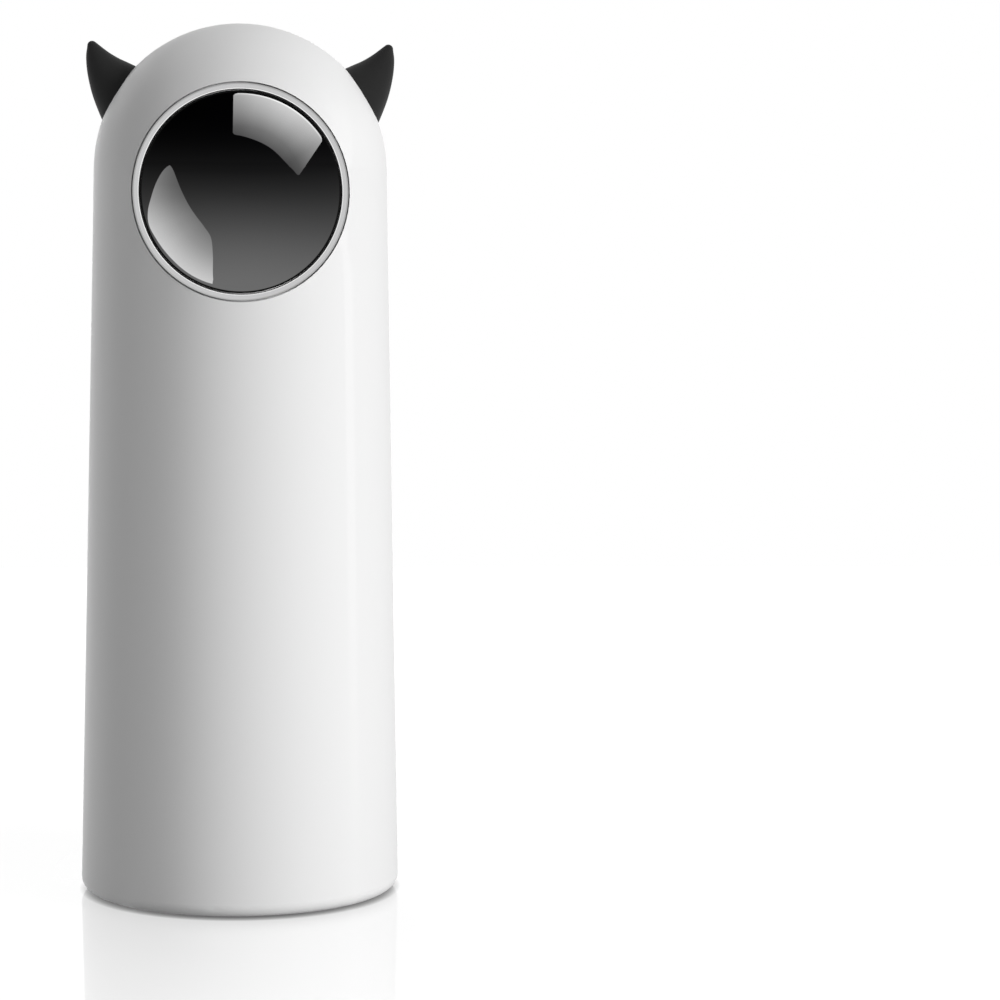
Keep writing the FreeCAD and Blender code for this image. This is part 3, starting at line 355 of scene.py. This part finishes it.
def surface(name, colour, roughness, mottle=0.02, patch=4 * MM, grain=0.25 * MM,
            depth=0.004 * MM, stretch=(1, 1, 1), **sockets):
    """Material with a slightly uneven colour and gloss and a fine grain.

    A roughness of 0 stays even, as a perfect mirror. Other sockets are given by name.
    """
    made = bpy.data.materials.new(name)
    made.use_nodes = True
    tree = made.node_tree
    shader = tree.nodes["Principled BSDF"]
    uneven = noise(tree, patch)
    tint = blend_colours(tree, uneven, shaded(colour, 1 - mottle), shaded(colour, 1 + mottle))
    link(tree, tint, shader.inputs["Base Color"])
    fine = noise(tree, grain, stretch=stretch)
    shader.inputs["Roughness"].default_value = roughness
    if roughness:
        limits = (roughness * (1 - gloss_spread), min(roughness * (1 + gloss_spread), 1.0))
        gloss = mapped(tree, fine, noise_range, limits)
        link(tree, gloss, shader.inputs["Roughness"])
    bump = tree.nodes.new("ShaderNodeBump")
    bump.inputs["Distance"].default_value = depth
    bump.inputs["Strength"].default_value = bump_strength
    link(tree, fine, bump.inputs["Height"])
    link(tree, bump.outputs["Normal"], shader.inputs["Normal"])
    for socket, value in sockets.items():
        shader.inputs[socket.replace("_", " ")].default_value = value
    return made


def make_materials():
    """One material for each of the record's slots."""
    steel = dict(Metallic=1.0, mottle=0.04, patch=2 * MM, grain=0.15 * MM)
    return {
        "shell_white": surface("satin_white", (0.86, 0.86, 0.86), 0.55, mottle=0.004,
                               patch=9 * MM, depth=0.003 * MM, Specular_IOR_Level=0.35),
        "bezel_silver": surface("ring_silver", (0.56, 0.56, 0.563), 0.25, mottle=0.01,
                                Metallic=1.0),
        "window_black": surface("smoked_window", (0.001, 0.001, 0.0012), 0.0, mottle=0.1,
                                grain=1.5 * MM, depth=0.0, IOR=2.0),
        "horn_black": surface("black_silicone", (0.019, 0.019, 0.019), 0.6, mottle=0.05,
                              patch=2.5 * MM, depth=0.006 * MM, Specular_IOR_Level=0.12,
                              Sheen_Weight=0.02, Sheen_Roughness=0.4),
        "foot_rubber": surface("foot_rubber", (0.045, 0.045, 0.045), 0.75, mottle=0.1,
                               depth=0.01 * MM),
        "inner_grey": surface("grey_plastic", (0.25, 0.26, 0.28), 0.5),
        "inner_black": surface("black_plastic", (0.025, 0.025, 0.027), 0.45, mottle=0.06),
        "gear_nylon": surface("nylon", (0.8, 0.78, 0.7), 0.45, Subsurface_Weight=0.05),
        "board_green": surface("solder_mask", (0.03, 0.2, 0.08), 0.3, mottle=0.12,
                               patch=1.5 * MM, Coat_Weight=0.4),
        "steel": surface("steel", (0.6, 0.6, 0.6), 0.3, stretch=(1, 12, 1), **steel),
        "brass": surface("brass", (0.75, 0.6, 0.3), 0.28, stretch=(12, 1, 1), **steel),
        "cell_sleeve": surface("cell_sleeve", (0.1, 0.1, 0.12), 0.25, mottle=0.06,
                               Coat_Weight=0.6),
        "clear_lens": surface("clear_lens", (0.9, 0.92, 0.95), 0.03, depth=0.0,
                              Transmission_Weight=1.0, IOR=1.5),
        "mirror_face": surface("mirror_face", (0.9, 0.9, 0.9), 0.03, depth=0.0, Metallic=1.0,
                               mottle=0.01),
        "led_yellow": surface("led_yellow", (0.8, 0.7, 0.3), 0.3, Subsurface_Weight=0.1),
    }


def tongue_painted_highlight():
    """Painted highlight: white on the edge that faces out of the socket; black on the other faces, where the
    contacts are.
    """
    contact_black = (0.01, 0.01, 0.01, 1)
    outward = 0.7
    made = surface("tongue_painted_highlight", (0.85, 0.85, 0.83), 0.4)
    tree = made.node_tree
    base = tree.nodes["Principled BSDF"].inputs["Base Color"]
    white = base.links[0].from_socket
    place = tree.nodes.new("ShaderNodeTexCoord")
    parts = tree.nodes.new("ShaderNodeSeparateXYZ")
    link(tree, place.outputs["Normal"], parts.inputs[0])
    mix = tree.nodes.new("ShaderNodeMix")
    mix.data_type = "RGBA"
    mix.inputs["A"].default_value = contact_black
    # painted highlight: only faces that look out of the socket keep the white
    link(tree, arithmetic(tree, "GREATER_THAN", parts.outputs["Y"], outward),
         mix.inputs["Factor"])
    link(tree, white, mix.inputs["B"])
    link(tree, mix.outputs["Result"], base)
    return made


def own_materials():
    """Materials of the nodes that look different from the rest of their slot."""
    return {
        "usb_tongue": tongue_painted_highlight(),
        "indicator_lenses": surface("light_lens", (0.006, 0.006, 0.006), 0.3, mottle=0.1,
                                    Specular_IOR_Level=0.1),
    }


def detail_materials():
    """Materials of the stretches of a piece that look different from the rest of it: painted shade on the window's
    rim, the ring's shoulder and the socket's shell, a painted highlight on the ring's inner edge, and the bare
    nickel of the socket's lip.
    """
    return {
        # painted shade: matte black for the window's rim, where it meets the ring
        "window_border_shade": surface("window_border_shade", (0.002, 0.002, 0.002), 0.5,
                                 Specular_IOR_Level=0.05),
        # painted highlight: a lighter copy of the ring's metal, for its inner chamfer
        "ring_painted_highlight": surface("ring_painted_highlight", (0.82, 0.82, 0.82), 0.2, mottle=0.01, Metallic=1.0),
        # painted shade: a darker copy of the ring's metal, for its outer shoulder
        "ring_painted_shade": surface("ring_painted_shade", (0.4, 0.4, 0.4), 0.35, mottle=0.01,
                                 Metallic=1.0),
        # painted shade: near black for the socket's shell, as the inside of its mouth
        "socket_painted_shade": surface("socket_painted_shade", (0.006, 0.006, 0.006), 0.5,
                                Specular_IOR_Level=0.15),
        "socket_nickel": surface("socket_nickel", (0.22, 0.22, 0.22), 0.35, Metallic=1.0),
    }


def dress_nodes(materials):
    """Give each CAD node its own material, or the one of its slot."""
    own = own_materials()
    for part in frame["record"]["subparts"]:
        name = part["node"]
        node = frame["nodes"][name]
        node.data.materials.clear()
        node.data.materials.append(own.get(name, materials[part["material_slot"]]))


def soften_feet():
    """Round the edges of the rubber feet."""
    for name in ("foot_front", "foot_left", "foot_right"):
        weld = frame["nodes"][name].modifiers.new("weld", "WELD")
        weld.merge_threshold = foot_weld
        bevel = frame["nodes"][name].modifiers.new("bevel", "BEVEL")
        bevel.width = foot_round
        bevel.segments = foot_round_steps
        bevel.angle_limit = math.radians(foot_edge_angle)


# ---------------------------------------------------------------- pieces


def window_lens(material, border):
    """Domed window with a rolled edge, in the place of the plain one; its level strip and rolled edge are matte
    black, painted shade for the gap to the ring.
    """
    points = [window_face(0, window_z)]
    inner = window_radius - window_edge
    radii = [(inner - window_land) * (i + 1) / window_rings for i in range(window_rings)]
    drops = [0.0] * window_rings
    for turn in window_edge_turns:
        angle = math.radians(turn)
        radii.append(inner + window_edge * math.sin(angle))
        drops.append(window_edge * (1 - math.cos(angle)))
    radii.append(window_radius)
    drops.append(window_depth)
    for radius, drop in zip(radii, drops):
        for s in range(window_segments):
            angle = 2 * math.pi * s / window_segments
            x = radius * math.cos(angle)
            z = window_z + radius * math.sin(angle)
            points.append(window_face(x, z) + Vector((0, drop, 0)))
    centre = [(0, 1 + s, 1 + (s + 1) % window_segments) for s in range(window_segments)]
    around = [tuple(1 + corner for corner in reversed(face))
              for face in ring_faces(len(radii), window_segments)]
    made = mesh_object("window_lens", points, centre + around)
    # painted shade: the level strip and the rolled edge get the matte black border
    paint(made, material, window_segments, (border, window_rings, len(radii)))
    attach(made, "housing")
    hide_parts("lens_window")


def bezel_ring(material, polished, shoulder):
    """Slim ring that follows the casing round the window, with a painted highlight along its inner edge and
    painted shade on its outer shoulder.
    """
    inner = window_radius + ring_gap
    outer = inner + ring_width
    section = [(inner, -window_depth), (inner, ring_rise - ring_chamfer),
               (inner + ring_chamfer, ring_rise)]
    for turn in ring_round_turns:
        angle = math.radians(turn)
        section.append((outer - ring_round * (1 - math.cos(angle)),
                        ring_rise - ring_round * (1 - math.sin(angle))))
    section.append((outer, -window_depth))
    points = []
    for radius, rise in section:
        for s in range(window_segments):
            angle = 2 * math.pi * s / window_segments
            x, z = radius * math.cos(angle), window_z + radius * math.sin(angle)
            points.append((x, -casing_y(x, z) - rise, z))
    made = mesh_object("bezel_ring", points, [tuple(reversed(face)) for face in
                                              ring_faces(len(section), window_segments)])
    # painted highlight on the inner chamfer, painted shade on the outer shoulder
    paint(made, material, window_segments, (polished, 1, 2), (shoulder, 3, len(section) - 1))
    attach(made, "housing")
    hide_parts("lens_bezel")


def horn_sections():
    """Middle, half width and depth of each section from the root on, and the tip's point."""
    inner = smooth_path([Vector(p) for p in horn_inner_edge], horn_rings)
    outer = smooth_path([Vector(p) for p in horn_outer_edge], horn_rings)
    root = (outer[0] - inner[0]).length
    sections = []
    for low, high in zip(inner, outer):
        middle, half = (low + high) / 2 * MM, (high - low) / 2 * MM
        deep = horn_depth * (2 * half.length / MM / root) ** horn_depth_power
        sections.append((middle, half, deep))
    middle, half, deep = sections[-1]
    outward = Vector((-half.y, half.x)).normalized()
    widest = math.asin(half.length / horn_tip_radius)
    hub = middle - outward * horn_tip_radius * math.cos(widest)
    for i in range(1, horn_cap_rings):
        turn = widest * (1 - i / horn_cap_rings)
        share = math.sin(turn) / math.sin(widest)
        sections.append((hub + outward * horn_tip_radius * math.cos(turn), half * share,
                         deep * share))
    return sections, hub + outward * horn_tip_radius


def horn(side, material):
    """Curved horn between its two edge lines, round in section and at its tip."""
    sections, tip = horn_sections()
    points = []
    for place, reach, depth in sections:
        for s in range(horn_segments):
            angle = 2 * math.pi * s / horn_segments
            spot = place + reach * math.cos(angle)
            points.append((side * spot.x, depth * math.sin(angle), spot.y))
    points.append((side * tip.x, 0, tip.y))
    last = (len(sections) - 1) * horn_segments
    faces = ring_faces(len(sections), horn_segments)
    faces += [(last + s, last + (s + 1) % horn_segments, len(points) - 1)
              for s in range(horn_segments)]
    faces.append(tuple(reversed(range(horn_segments))))
    if side > 0:
        faces = [tuple(reversed(face)) for face in faces]
    name, node = ("soft_horn_right", "horn_right") if side > 0 else ("soft_horn_left", "horn_left")
    made = mesh_object(name, points, faces)
    made.data.polygons[len(faces) - 1].use_smooth = False
    paint(made, material)
    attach(made, "housing")
    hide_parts(node)


def socket_outline(y, half_width, half_height, top_round, low_round):
    """Closed outline of the socket's shell at a depth, round at its corners."""
    centre_x, centre_z = node_centre("usb_port")
    points = []
    for side, level, rounding in ((1, 1, top_round), (-1, 1, top_round), (-1, -1, low_round),
                                  (1, -1, low_round)):
        for step in range(corner_steps + 1):
            share = step / corner_steps if side == level else 1 - step / corner_steps
            angle = math.radians(90 * share)
            points.append((centre_x + side * (half_width - rounding * (1 - math.cos(angle))), y,
                           centre_z + level * (half_height - rounding * (1 - math.sin(angle)))))
    return points


def shrunk(outline, amount):
    """Sizes of an outline that lies inside another by an amount."""
    return tuple(max(number - amount, least_rounding) for number in outline)


def socket_shell(dark, rim):
    """Socket shell with a flared mouth, painted black as shade inside the mouth, with a thin line of bare nickel
    inside its lip.
    """
    outer, inner = (socket_wall * share for share in socket_lip_front)
    sections = [(socket_back, socket_body), (socket_neck, socket_body),
                (socket_mouth - socket_lip, socket_rim),
                (socket_mouth, shrunk(socket_rim, outer)),
                (socket_mouth, shrunk(socket_rim, inner)),
                (socket_mouth - socket_lip, shrunk(socket_rim, socket_wall)),
                (socket_neck, socket_bore), (socket_floor, socket_bore)]
    points = [point for y, outline in sections for point in socket_outline(y, *outline)]
    around = 4 * (corner_steps + 1)
    faces = [tuple(reversed(face)) for face in ring_faces(len(sections), around)]
    last = (len(sections) - 1) * around
    faces += [tuple(range(around)), tuple(range(last + around - 1, last - 1, -1))]
    made = mesh_object("usb_shell", points, faces, smooth=False)
    # painted shade: black all over but for a thin line of bare nickel inside the lip
    paint(made, dark, around, (rim, 4, 5))
    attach(made, "housing")
    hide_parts("usb_port")


# ---------------------------------------------------------------- marks


def flat_mark(name, outlines):
    """Mesh of a flat mark with rounded edges, from closed outlines in its own plane."""
    curve = bpy.data.curves.new(name, "CURVE")
    curve.dimensions = "2D"
    curve.fill_mode = "BOTH"
    curve.extrude = (mark_height + mark_sink) / 2 - mark_round
    curve.bevel_depth = mark_round
    curve.offset = -mark_round
    for outline in outlines:
        spline = curve.splines.new("POLY")
        spline.points.add(len(outline) - 1)
        for point, (x, z) in zip(spline.points, outline):
            point.co = (x, z, 0, 1)
        spline.use_cyclic_u = True
    flat = bpy.data.objects.new(name, curve)
    mesh = bpy.data.meshes.new_from_object(flat)
    bpy.data.objects.remove(flat)
    return mesh


def raised_mark(name, outlines, centre, body, material):
    """Thin raised mark that follows the casing's back, about a centre across and up."""
    mesh = flat_mark(name, outlines)
    for vertex in mesh.vertices:
        across, up, level = vertex.co
        x, z = centre[0] + across, centre[1] + up
        vertex.co = (x, casing_y(x, z) + level + (mark_height - mark_sink) / 2, z)
    for polygon in mesh.polygons:
        polygon.use_smooth = False
    mesh.name = name
    made = bpy.data.objects.new(name, mesh)
    bpy.context.scene.collection.objects.link(made)
    made.data.materials.clear()
    paint(made, material)
    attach(made, body)


def numeral(count):
    """Outlines of a Roman numeral: a stroke with serifs for each unit."""
    half, wide = stroke / 2, stroke / 2 + serif_reach
    tip, neck = numeral_height / 2, numeral_height / 2 - serif
    line = [(-wide, -tip), (wide, -tip), (wide, -neck), (half, -neck), (half, neck), (wide, neck),
            (wide, tip), (-wide, tip), (-wide, neck), (-half, neck), (-half, -neck), (-wide, -neck)]
    middles = [(i - (count - 1) / 2) * numeral_pitch for i in range(count)]
    return [[(middle + x, z) for x, z in line] for middle in middles]


def power_mark():
    """Open ring with an upright bar in its gap."""
    start, end = math.radians(90 + power_gap), math.radians(450 - power_gap)
    angles = [start + (end - start) * i / power_steps for i in range(power_steps + 1)]
    outer, inner = power_radius + power_stroke / 2, power_radius - power_stroke / 2
    ring = [(outer * math.cos(a), outer * math.sin(a) - power_drop) for a in angles]
    ring += [(inner * math.cos(a), inner * math.sin(a) - power_drop) for a in reversed(angles)]
    half = power_stroke / 2
    low, high = (level - power_drop for level in power_bar)
    return [ring, [(-half, low), (half, low), (half, high), (-half, high)]]


def chevrons(count):
    """Small arrowheads that point to the right, as seen from behind."""
    outlines = []
    wide, high = chevron_size
    for i in range(count):
        x = ((count - 1) / 2 - i) * chevron_pitch + (wide + chevron_stroke) / 2
        outlines.append([(x, high), (x - chevron_stroke, high), (x - wide - chevron_stroke, 0),
                         (x - chevron_stroke, -high), (x, -high), (x - wide, 0)])
    return outlines


def button_marks(material):
    """Numerals on the three small buttons and the power symbol on the large one."""
    for count, name in enumerate(("one", "two", "three"), start=1):
        raised_mark("numeral_" + name, numeral(count), node_centre("button_" + name),
                    "button_" + name, material)
    raised_mark("power_symbol", power_mark(), node_centre("button_power"), "button_power",
                material)


def light_marks(material):
    """Seen from behind, one chevron for slow under each left light and two for fast at right."""
    low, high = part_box("indicator_lenses")
    reach = (high.x - low.x) / 2 - light_radius
    for name in ("one", "two"):
        x, z = node_centre("button_" + name)
        for side, count, word in ((1, 1, "slow"), (-1, 2, "fast")):
            raised_mark("mark_" + word + "_" + name, chevrons(count),
                        (side * reach, z - chevron_drop), "housing", material)


# ---------------------------------------------------------------- studio


def make_camera():
    """Camera at its named place, turned by its named angles."""
    data = bpy.data.cameras.new("camera")
    data.lens = camera_lens
    data.sensor_width = camera_sensor
    data.clip_start = camera_clip
    made = bpy.data.objects.new("camera", data)
    bpy.context.scene.collection.objects.link(made)
    forward = Vector((math.sin(camera_yaw) * math.cos(camera_pitch),
                      math.cos(camera_yaw) * math.cos(camera_pitch), -math.sin(camera_pitch)))
    turn = forward.to_track_quat("-Z", "Y").to_matrix().to_4x4()
    made.matrix_world = (Matrix.Translation(camera_place) @ turn
                         @ Matrix.Rotation(camera_roll, 4, "Z"))
    bpy.context.scene.camera = made


def sun(name, azimuth, elevation, strength):
    """Soft distant lamp that shines at the object and that reflections don't show."""
    data = bpy.data.lights.new(name, "SUN")
    data.energy = strength
    data.angle = math.radians(lamp_spread)
    made = bpy.data.objects.new(name, data)
    bpy.context.scene.collection.objects.link(made)
    a, e = math.radians(azimuth), math.radians(elevation)
    made.location = Vector((math.sin(a) * math.cos(e), -math.cos(a) * math.cos(e), math.sin(e)))
    made.visible_glossy = False
    made.rotation_euler = (-made.location).to_track_quat("-Z", "Y").to_euler()


def seen_directly(tree):
    """1 for rays that see a background: camera, glossy and transmission rays."""
    path = tree.nodes.new("ShaderNodeLightPath").outputs
    seen = arithmetic(tree, "MAXIMUM", path["Is Camera Ray"], path["Is Glossy Ray"])
    return arithmetic(tree, "MAXIMUM", seen, path["Is Transmission Ray"])


def make_world():
    """White where it is seen, plain soft light elsewhere, and a ramp in the window's mirror."""
    world = bpy.data.worlds.new("studio")
    world.use_nodes = True
    tree = world.node_tree
    soft = tree.nodes["Background"]
    soft.inputs["Color"].default_value = (1, 1, 1, 1)
    soft.inputs["Strength"].default_value = ambient
    white = tree.nodes.new("ShaderNodeBackground")
    white.inputs["Color"].default_value = (1, 1, 1, 1)
    link(tree, mirrored_strength(tree), white.inputs["Strength"])
    mix = mixed_shaders(tree, seen_directly(tree), soft.outputs[0], white.outputs[0])
    link(tree, mix, tree.nodes["World Output"].inputs["Surface"])
    bpy.context.scene.world = world


def mirrored_strength(tree):
    """1, or for a ray off a perfect mirror that heads to the front, the mirrored light."""
    direction = tree.nodes.new("ShaderNodeTexCoord").outputs["Generated"]
    parts = tree.nodes.new("ShaderNodeSeparateXYZ")
    link(tree, direction, parts.inputs[0])
    to_front = mapped(tree, parts.outputs["Y"], mirror_end, (1.0, 0.0), "SMOOTHSTEP")
    path = tree.nodes.new("ShaderNodeLightPath").outputs
    share = arithmetic(tree, "MULTIPLY", path["Is Singular Ray"], to_front)
    # a ray's height over how far it turns to the front keeps the ramp level across the window
    forward = arithmetic(tree, "MULTIPLY_ADD", parts.outputs["Y"], -0.5, 0.5)
    height = arithmetic(tree, "DIVIDE", parts.outputs["Z"], arithmetic(tree, "SQRT", forward))
    change = arithmetic(tree, "SUBTRACT", through_stops(tree, height, mirrored_light), 1.0)
    return arithmetic(tree, "MULTIPLY_ADD", share, change, 1.0)


def make_floor():
    """Flat square under the object, which casts no shadow of its own."""
    corners = [(x * floor_reach, y * floor_reach, 0) for x, y in
               ((-1, -1), (1, -1), (1, 1), (-1, 1))]
    made = mesh_object("floor", corners, [(0, 1, 2, 3)], smooth=False)
    paint(made, floor_material())
    made.visible_shadow = False


def floor_material():
    """White with a thin contact shadow and a fading reflection of the object."""
    material, tree, output = bare_material("floor_white")
    lit = tree.nodes.new("ShaderNodeBsdfDiffuse")
    lit.inputs["Color"].default_value = (floor_albedo, floor_albedo, floor_albedo, 1)
    glow = tree.nodes.new("ShaderNodeEmission")
    link(tree, contact_shadow(tree), glow.inputs["Strength"])
    both = tree.nodes.new("ShaderNodeAddShader")
    link(tree, lit.outputs[0], both.inputs[0])
    link(tree, glow.outputs[0], both.inputs[1])
    gloss = tree.nodes.new("ShaderNodeBsdfGlossy")
    gloss.inputs["Roughness"].default_value = floor_gloss
    seen = mixed_shaders(tree, fading_reflection(tree), both.outputs[0], gloss.outputs[0])
    soft = tree.nodes.new("ShaderNodeEmission")
    soft.inputs["Strength"].default_value = ambient
    path = tree.nodes.new("ShaderNodeLightPath").outputs
    link(tree, mixed_shaders(tree, path["Is Diffuse Ray"], seen, soft.outputs[0]), output)
    return material


def contact_shadow(tree):
    """The floor's own light, less where the object almost touches it."""
    contact = tree.nodes.new("ShaderNodeAmbientOcclusion")
    contact.inputs["Distance"].default_value = contact_reach
    contact.samples = contact_samples
    return arithmetic(tree, "MULTIPLY_ADD", contact.outputs["AO"], floor_glow * contact_share,
                      floor_glow * (1 - contact_share))


def fading_reflection(tree):
    """Share of the floor's reflection: strongest beside the object, nothing far from it."""
    place = tree.nodes.new("ShaderNodeTexCoord")
    far = tree.nodes.new("ShaderNodeVectorMath")
    far.operation = "LENGTH"
    link(tree, place.outputs["Object"], far.inputs[0])
    fade = mapped(tree, far.outputs["Value"], (reflection_near, reflection_far),
                  (reflection_gain, 0.0))
    fresnel = tree.nodes.new("ShaderNodeFresnel")
    fresnel.inputs["IOR"].default_value = floor_ior
    return arithmetic(tree, "MULTIPLY", fresnel.outputs[0], fade)


def level_at(stops, value):
    """Level at a value on straight lines through the stops."""
    for (low, start), (high, end) in zip(stops, stops[1:]):
        if value <= high:
            return start + (end - start) * max(value - low, 0) / (high - low)
    return stops[-1][1]


def glowing(name):
    """Emission by the mesh's own attribute called light, which only perfect mirrors show."""
    material, tree, output = bare_material(name)
    level = tree.nodes.new("ShaderNodeAttribute")
    level.attribute_name = "light"
    glow = tree.nodes.new("ShaderNodeEmission")
    link(tree, level.outputs["Fac"], glow.inputs["Strength"])
    clear = tree.nodes.new("ShaderNodeBsdfTransparent")
    path = tree.nodes.new("ShaderNodeLightPath").outputs
    link(tree, mixed_shaders(tree, path["Is Singular Ray"], clear.outputs[0], glow.outputs[0]),
         output)
    return material


def clock_line(corners):
    """Points (radius, clock angle, place) along a smooth line round the window's middle."""
    line = smooth_path([Vector(corner) for corner in corners], card_rows)
    return [(r, a, Vector((r * math.sin(math.radians(a)), r * math.cos(math.radians(a)))))
            for r, a in line]


def mirrored_spot(x, z):
    """Point that the camera sees mirrored in the window at a width and a height."""
    face = window_face(x, z)
    sight = (face - camera_place).normalized()
    return face + sight.reflect(window_normal(x, z)) * card_distance


def reflected_card(name, outer, inner, outward, around):
    """Light card whose reflection fills the window between two lines, from the camera.

    The lines are (radius, clock angle) points round the window's middle, in millimetres and
    degrees. The light is a level that follows the radius times one that follows the angle.
    """
    rows, columns = card_rows, card_columns
    points, levels = [], []
    for i, (far, near) in enumerate(zip(clock_line(outer), clock_line(inner))):
        end = min(i, rows - 1 - i) / (rows - 1) / card_rounding
        trim = card_rounding * (1 - math.sqrt(1 - max(1 - end, 0) ** 2))
        for j in range(columns):
            share = trim + (1 - 2 * trim) * j / (columns - 1)
            radius, clock = (far[k] + (near[k] - far[k]) * share for k in (0, 1))
            levels.append(level_at(outward, radius) * level_at(around, clock))
            spot = far[2].lerp(near[2], share)
            points.append(mirrored_spot(spot.x * MM, window_z + spot.y * MM))
    faces = [(i * columns + j, i * columns + j + 1, (i + 1) * columns + j + 1,
              (i + 1) * columns + j)
             for i in range(rows - 1) for j in range(columns - 1)]
    made = mesh_object(name, points, faces)
    attribute = made.data.attributes.new("light", "FLOAT", "POINT")
    attribute.data.foreach_set("value", levels)
    paint(made, glowing(name + "_light"))
    made.visible_camera = False
    made.visible_diffuse = False
    made.visible_transmission = False
    made.visible_volume_scatter = False
    made.visible_shadow = False


def make_cards():
    """The two window lights that show in the black glass, brighter outward."""
    reflected_card("card_right",
                   outer=[(22.8, -4.3), (22.8, 12), (22.8, 27), (22.8, 42), (22.8, 57.4)],
                   inner=[(13.2, -8), (12.4, 12), (12.2, 34), (12.4, 56), (13.8, 75)],
                   outward=((12.2, 0.85), (15, 1.62), (17, 2.7), (19, 3.8), (22.45, 5.4),
                            (22.6, 8.5)),
                   around=((-8, 0.55), (0, 0.66), (10, 0.85), (25, 1.0), (35, 1.0), (50, 0.82),
                           (60, 0.58), (75, 0.45)))
    reflected_card("card_left",
                   outer=[(22.5, 197), (22.6, 211), (22.5, 225), (22.6, 239), (22.8, 250),
                          (22.1, 258), (20.9, 266), (19.7, 276), (18.7, 284), (17.7, 290)],
                   inner=[(21.3, 197.4), (16.2, 203.5), (12.8, 212.5), (11.8, 226), (11.8, 239),
                          (12.3, 252), (13.2, 265), (14.5, 276.5), (16.0, 285.5), (17.3, 290)],
                   outward=((11.5, 1.5), (14, 2.1), (16, 2.65), (18, 3.45), (20, 4.35),
                            (23, 5.6)),
                   around=((232, 1.0), (245, 0.9), (255, 0.74), (265, 0.55), (275, 0.42),
                           (290, 0.35)))


def make_studio():
    """Everything around the object: camera, background, floor, reflected lights and lamps."""
    make_camera()
    make_world()
    make_floor()
    make_cards()
    for lamp in lamps:
        sun(*lamp)


# ---------------------------------------------------------------- scene

scene = bpy.context.scene
scene.view_settings.view_transform = "Standard"
materials = make_materials()
details = detail_materials()
dress_nodes(materials)
window_lens(materials["window_black"], details["window_border_shade"])
bezel_ring(materials["bezel_silver"], details["ring_painted_highlight"], details["ring_painted_shade"])
for side in (-1, 1):
    horn(side, materials["horn_black"])
socket_shell(details["socket_painted_shade"], details["socket_nickel"])
soften_feet()
button_marks(materials["shell_white"])
light_marks(materials["shell_white"])
make_studio()
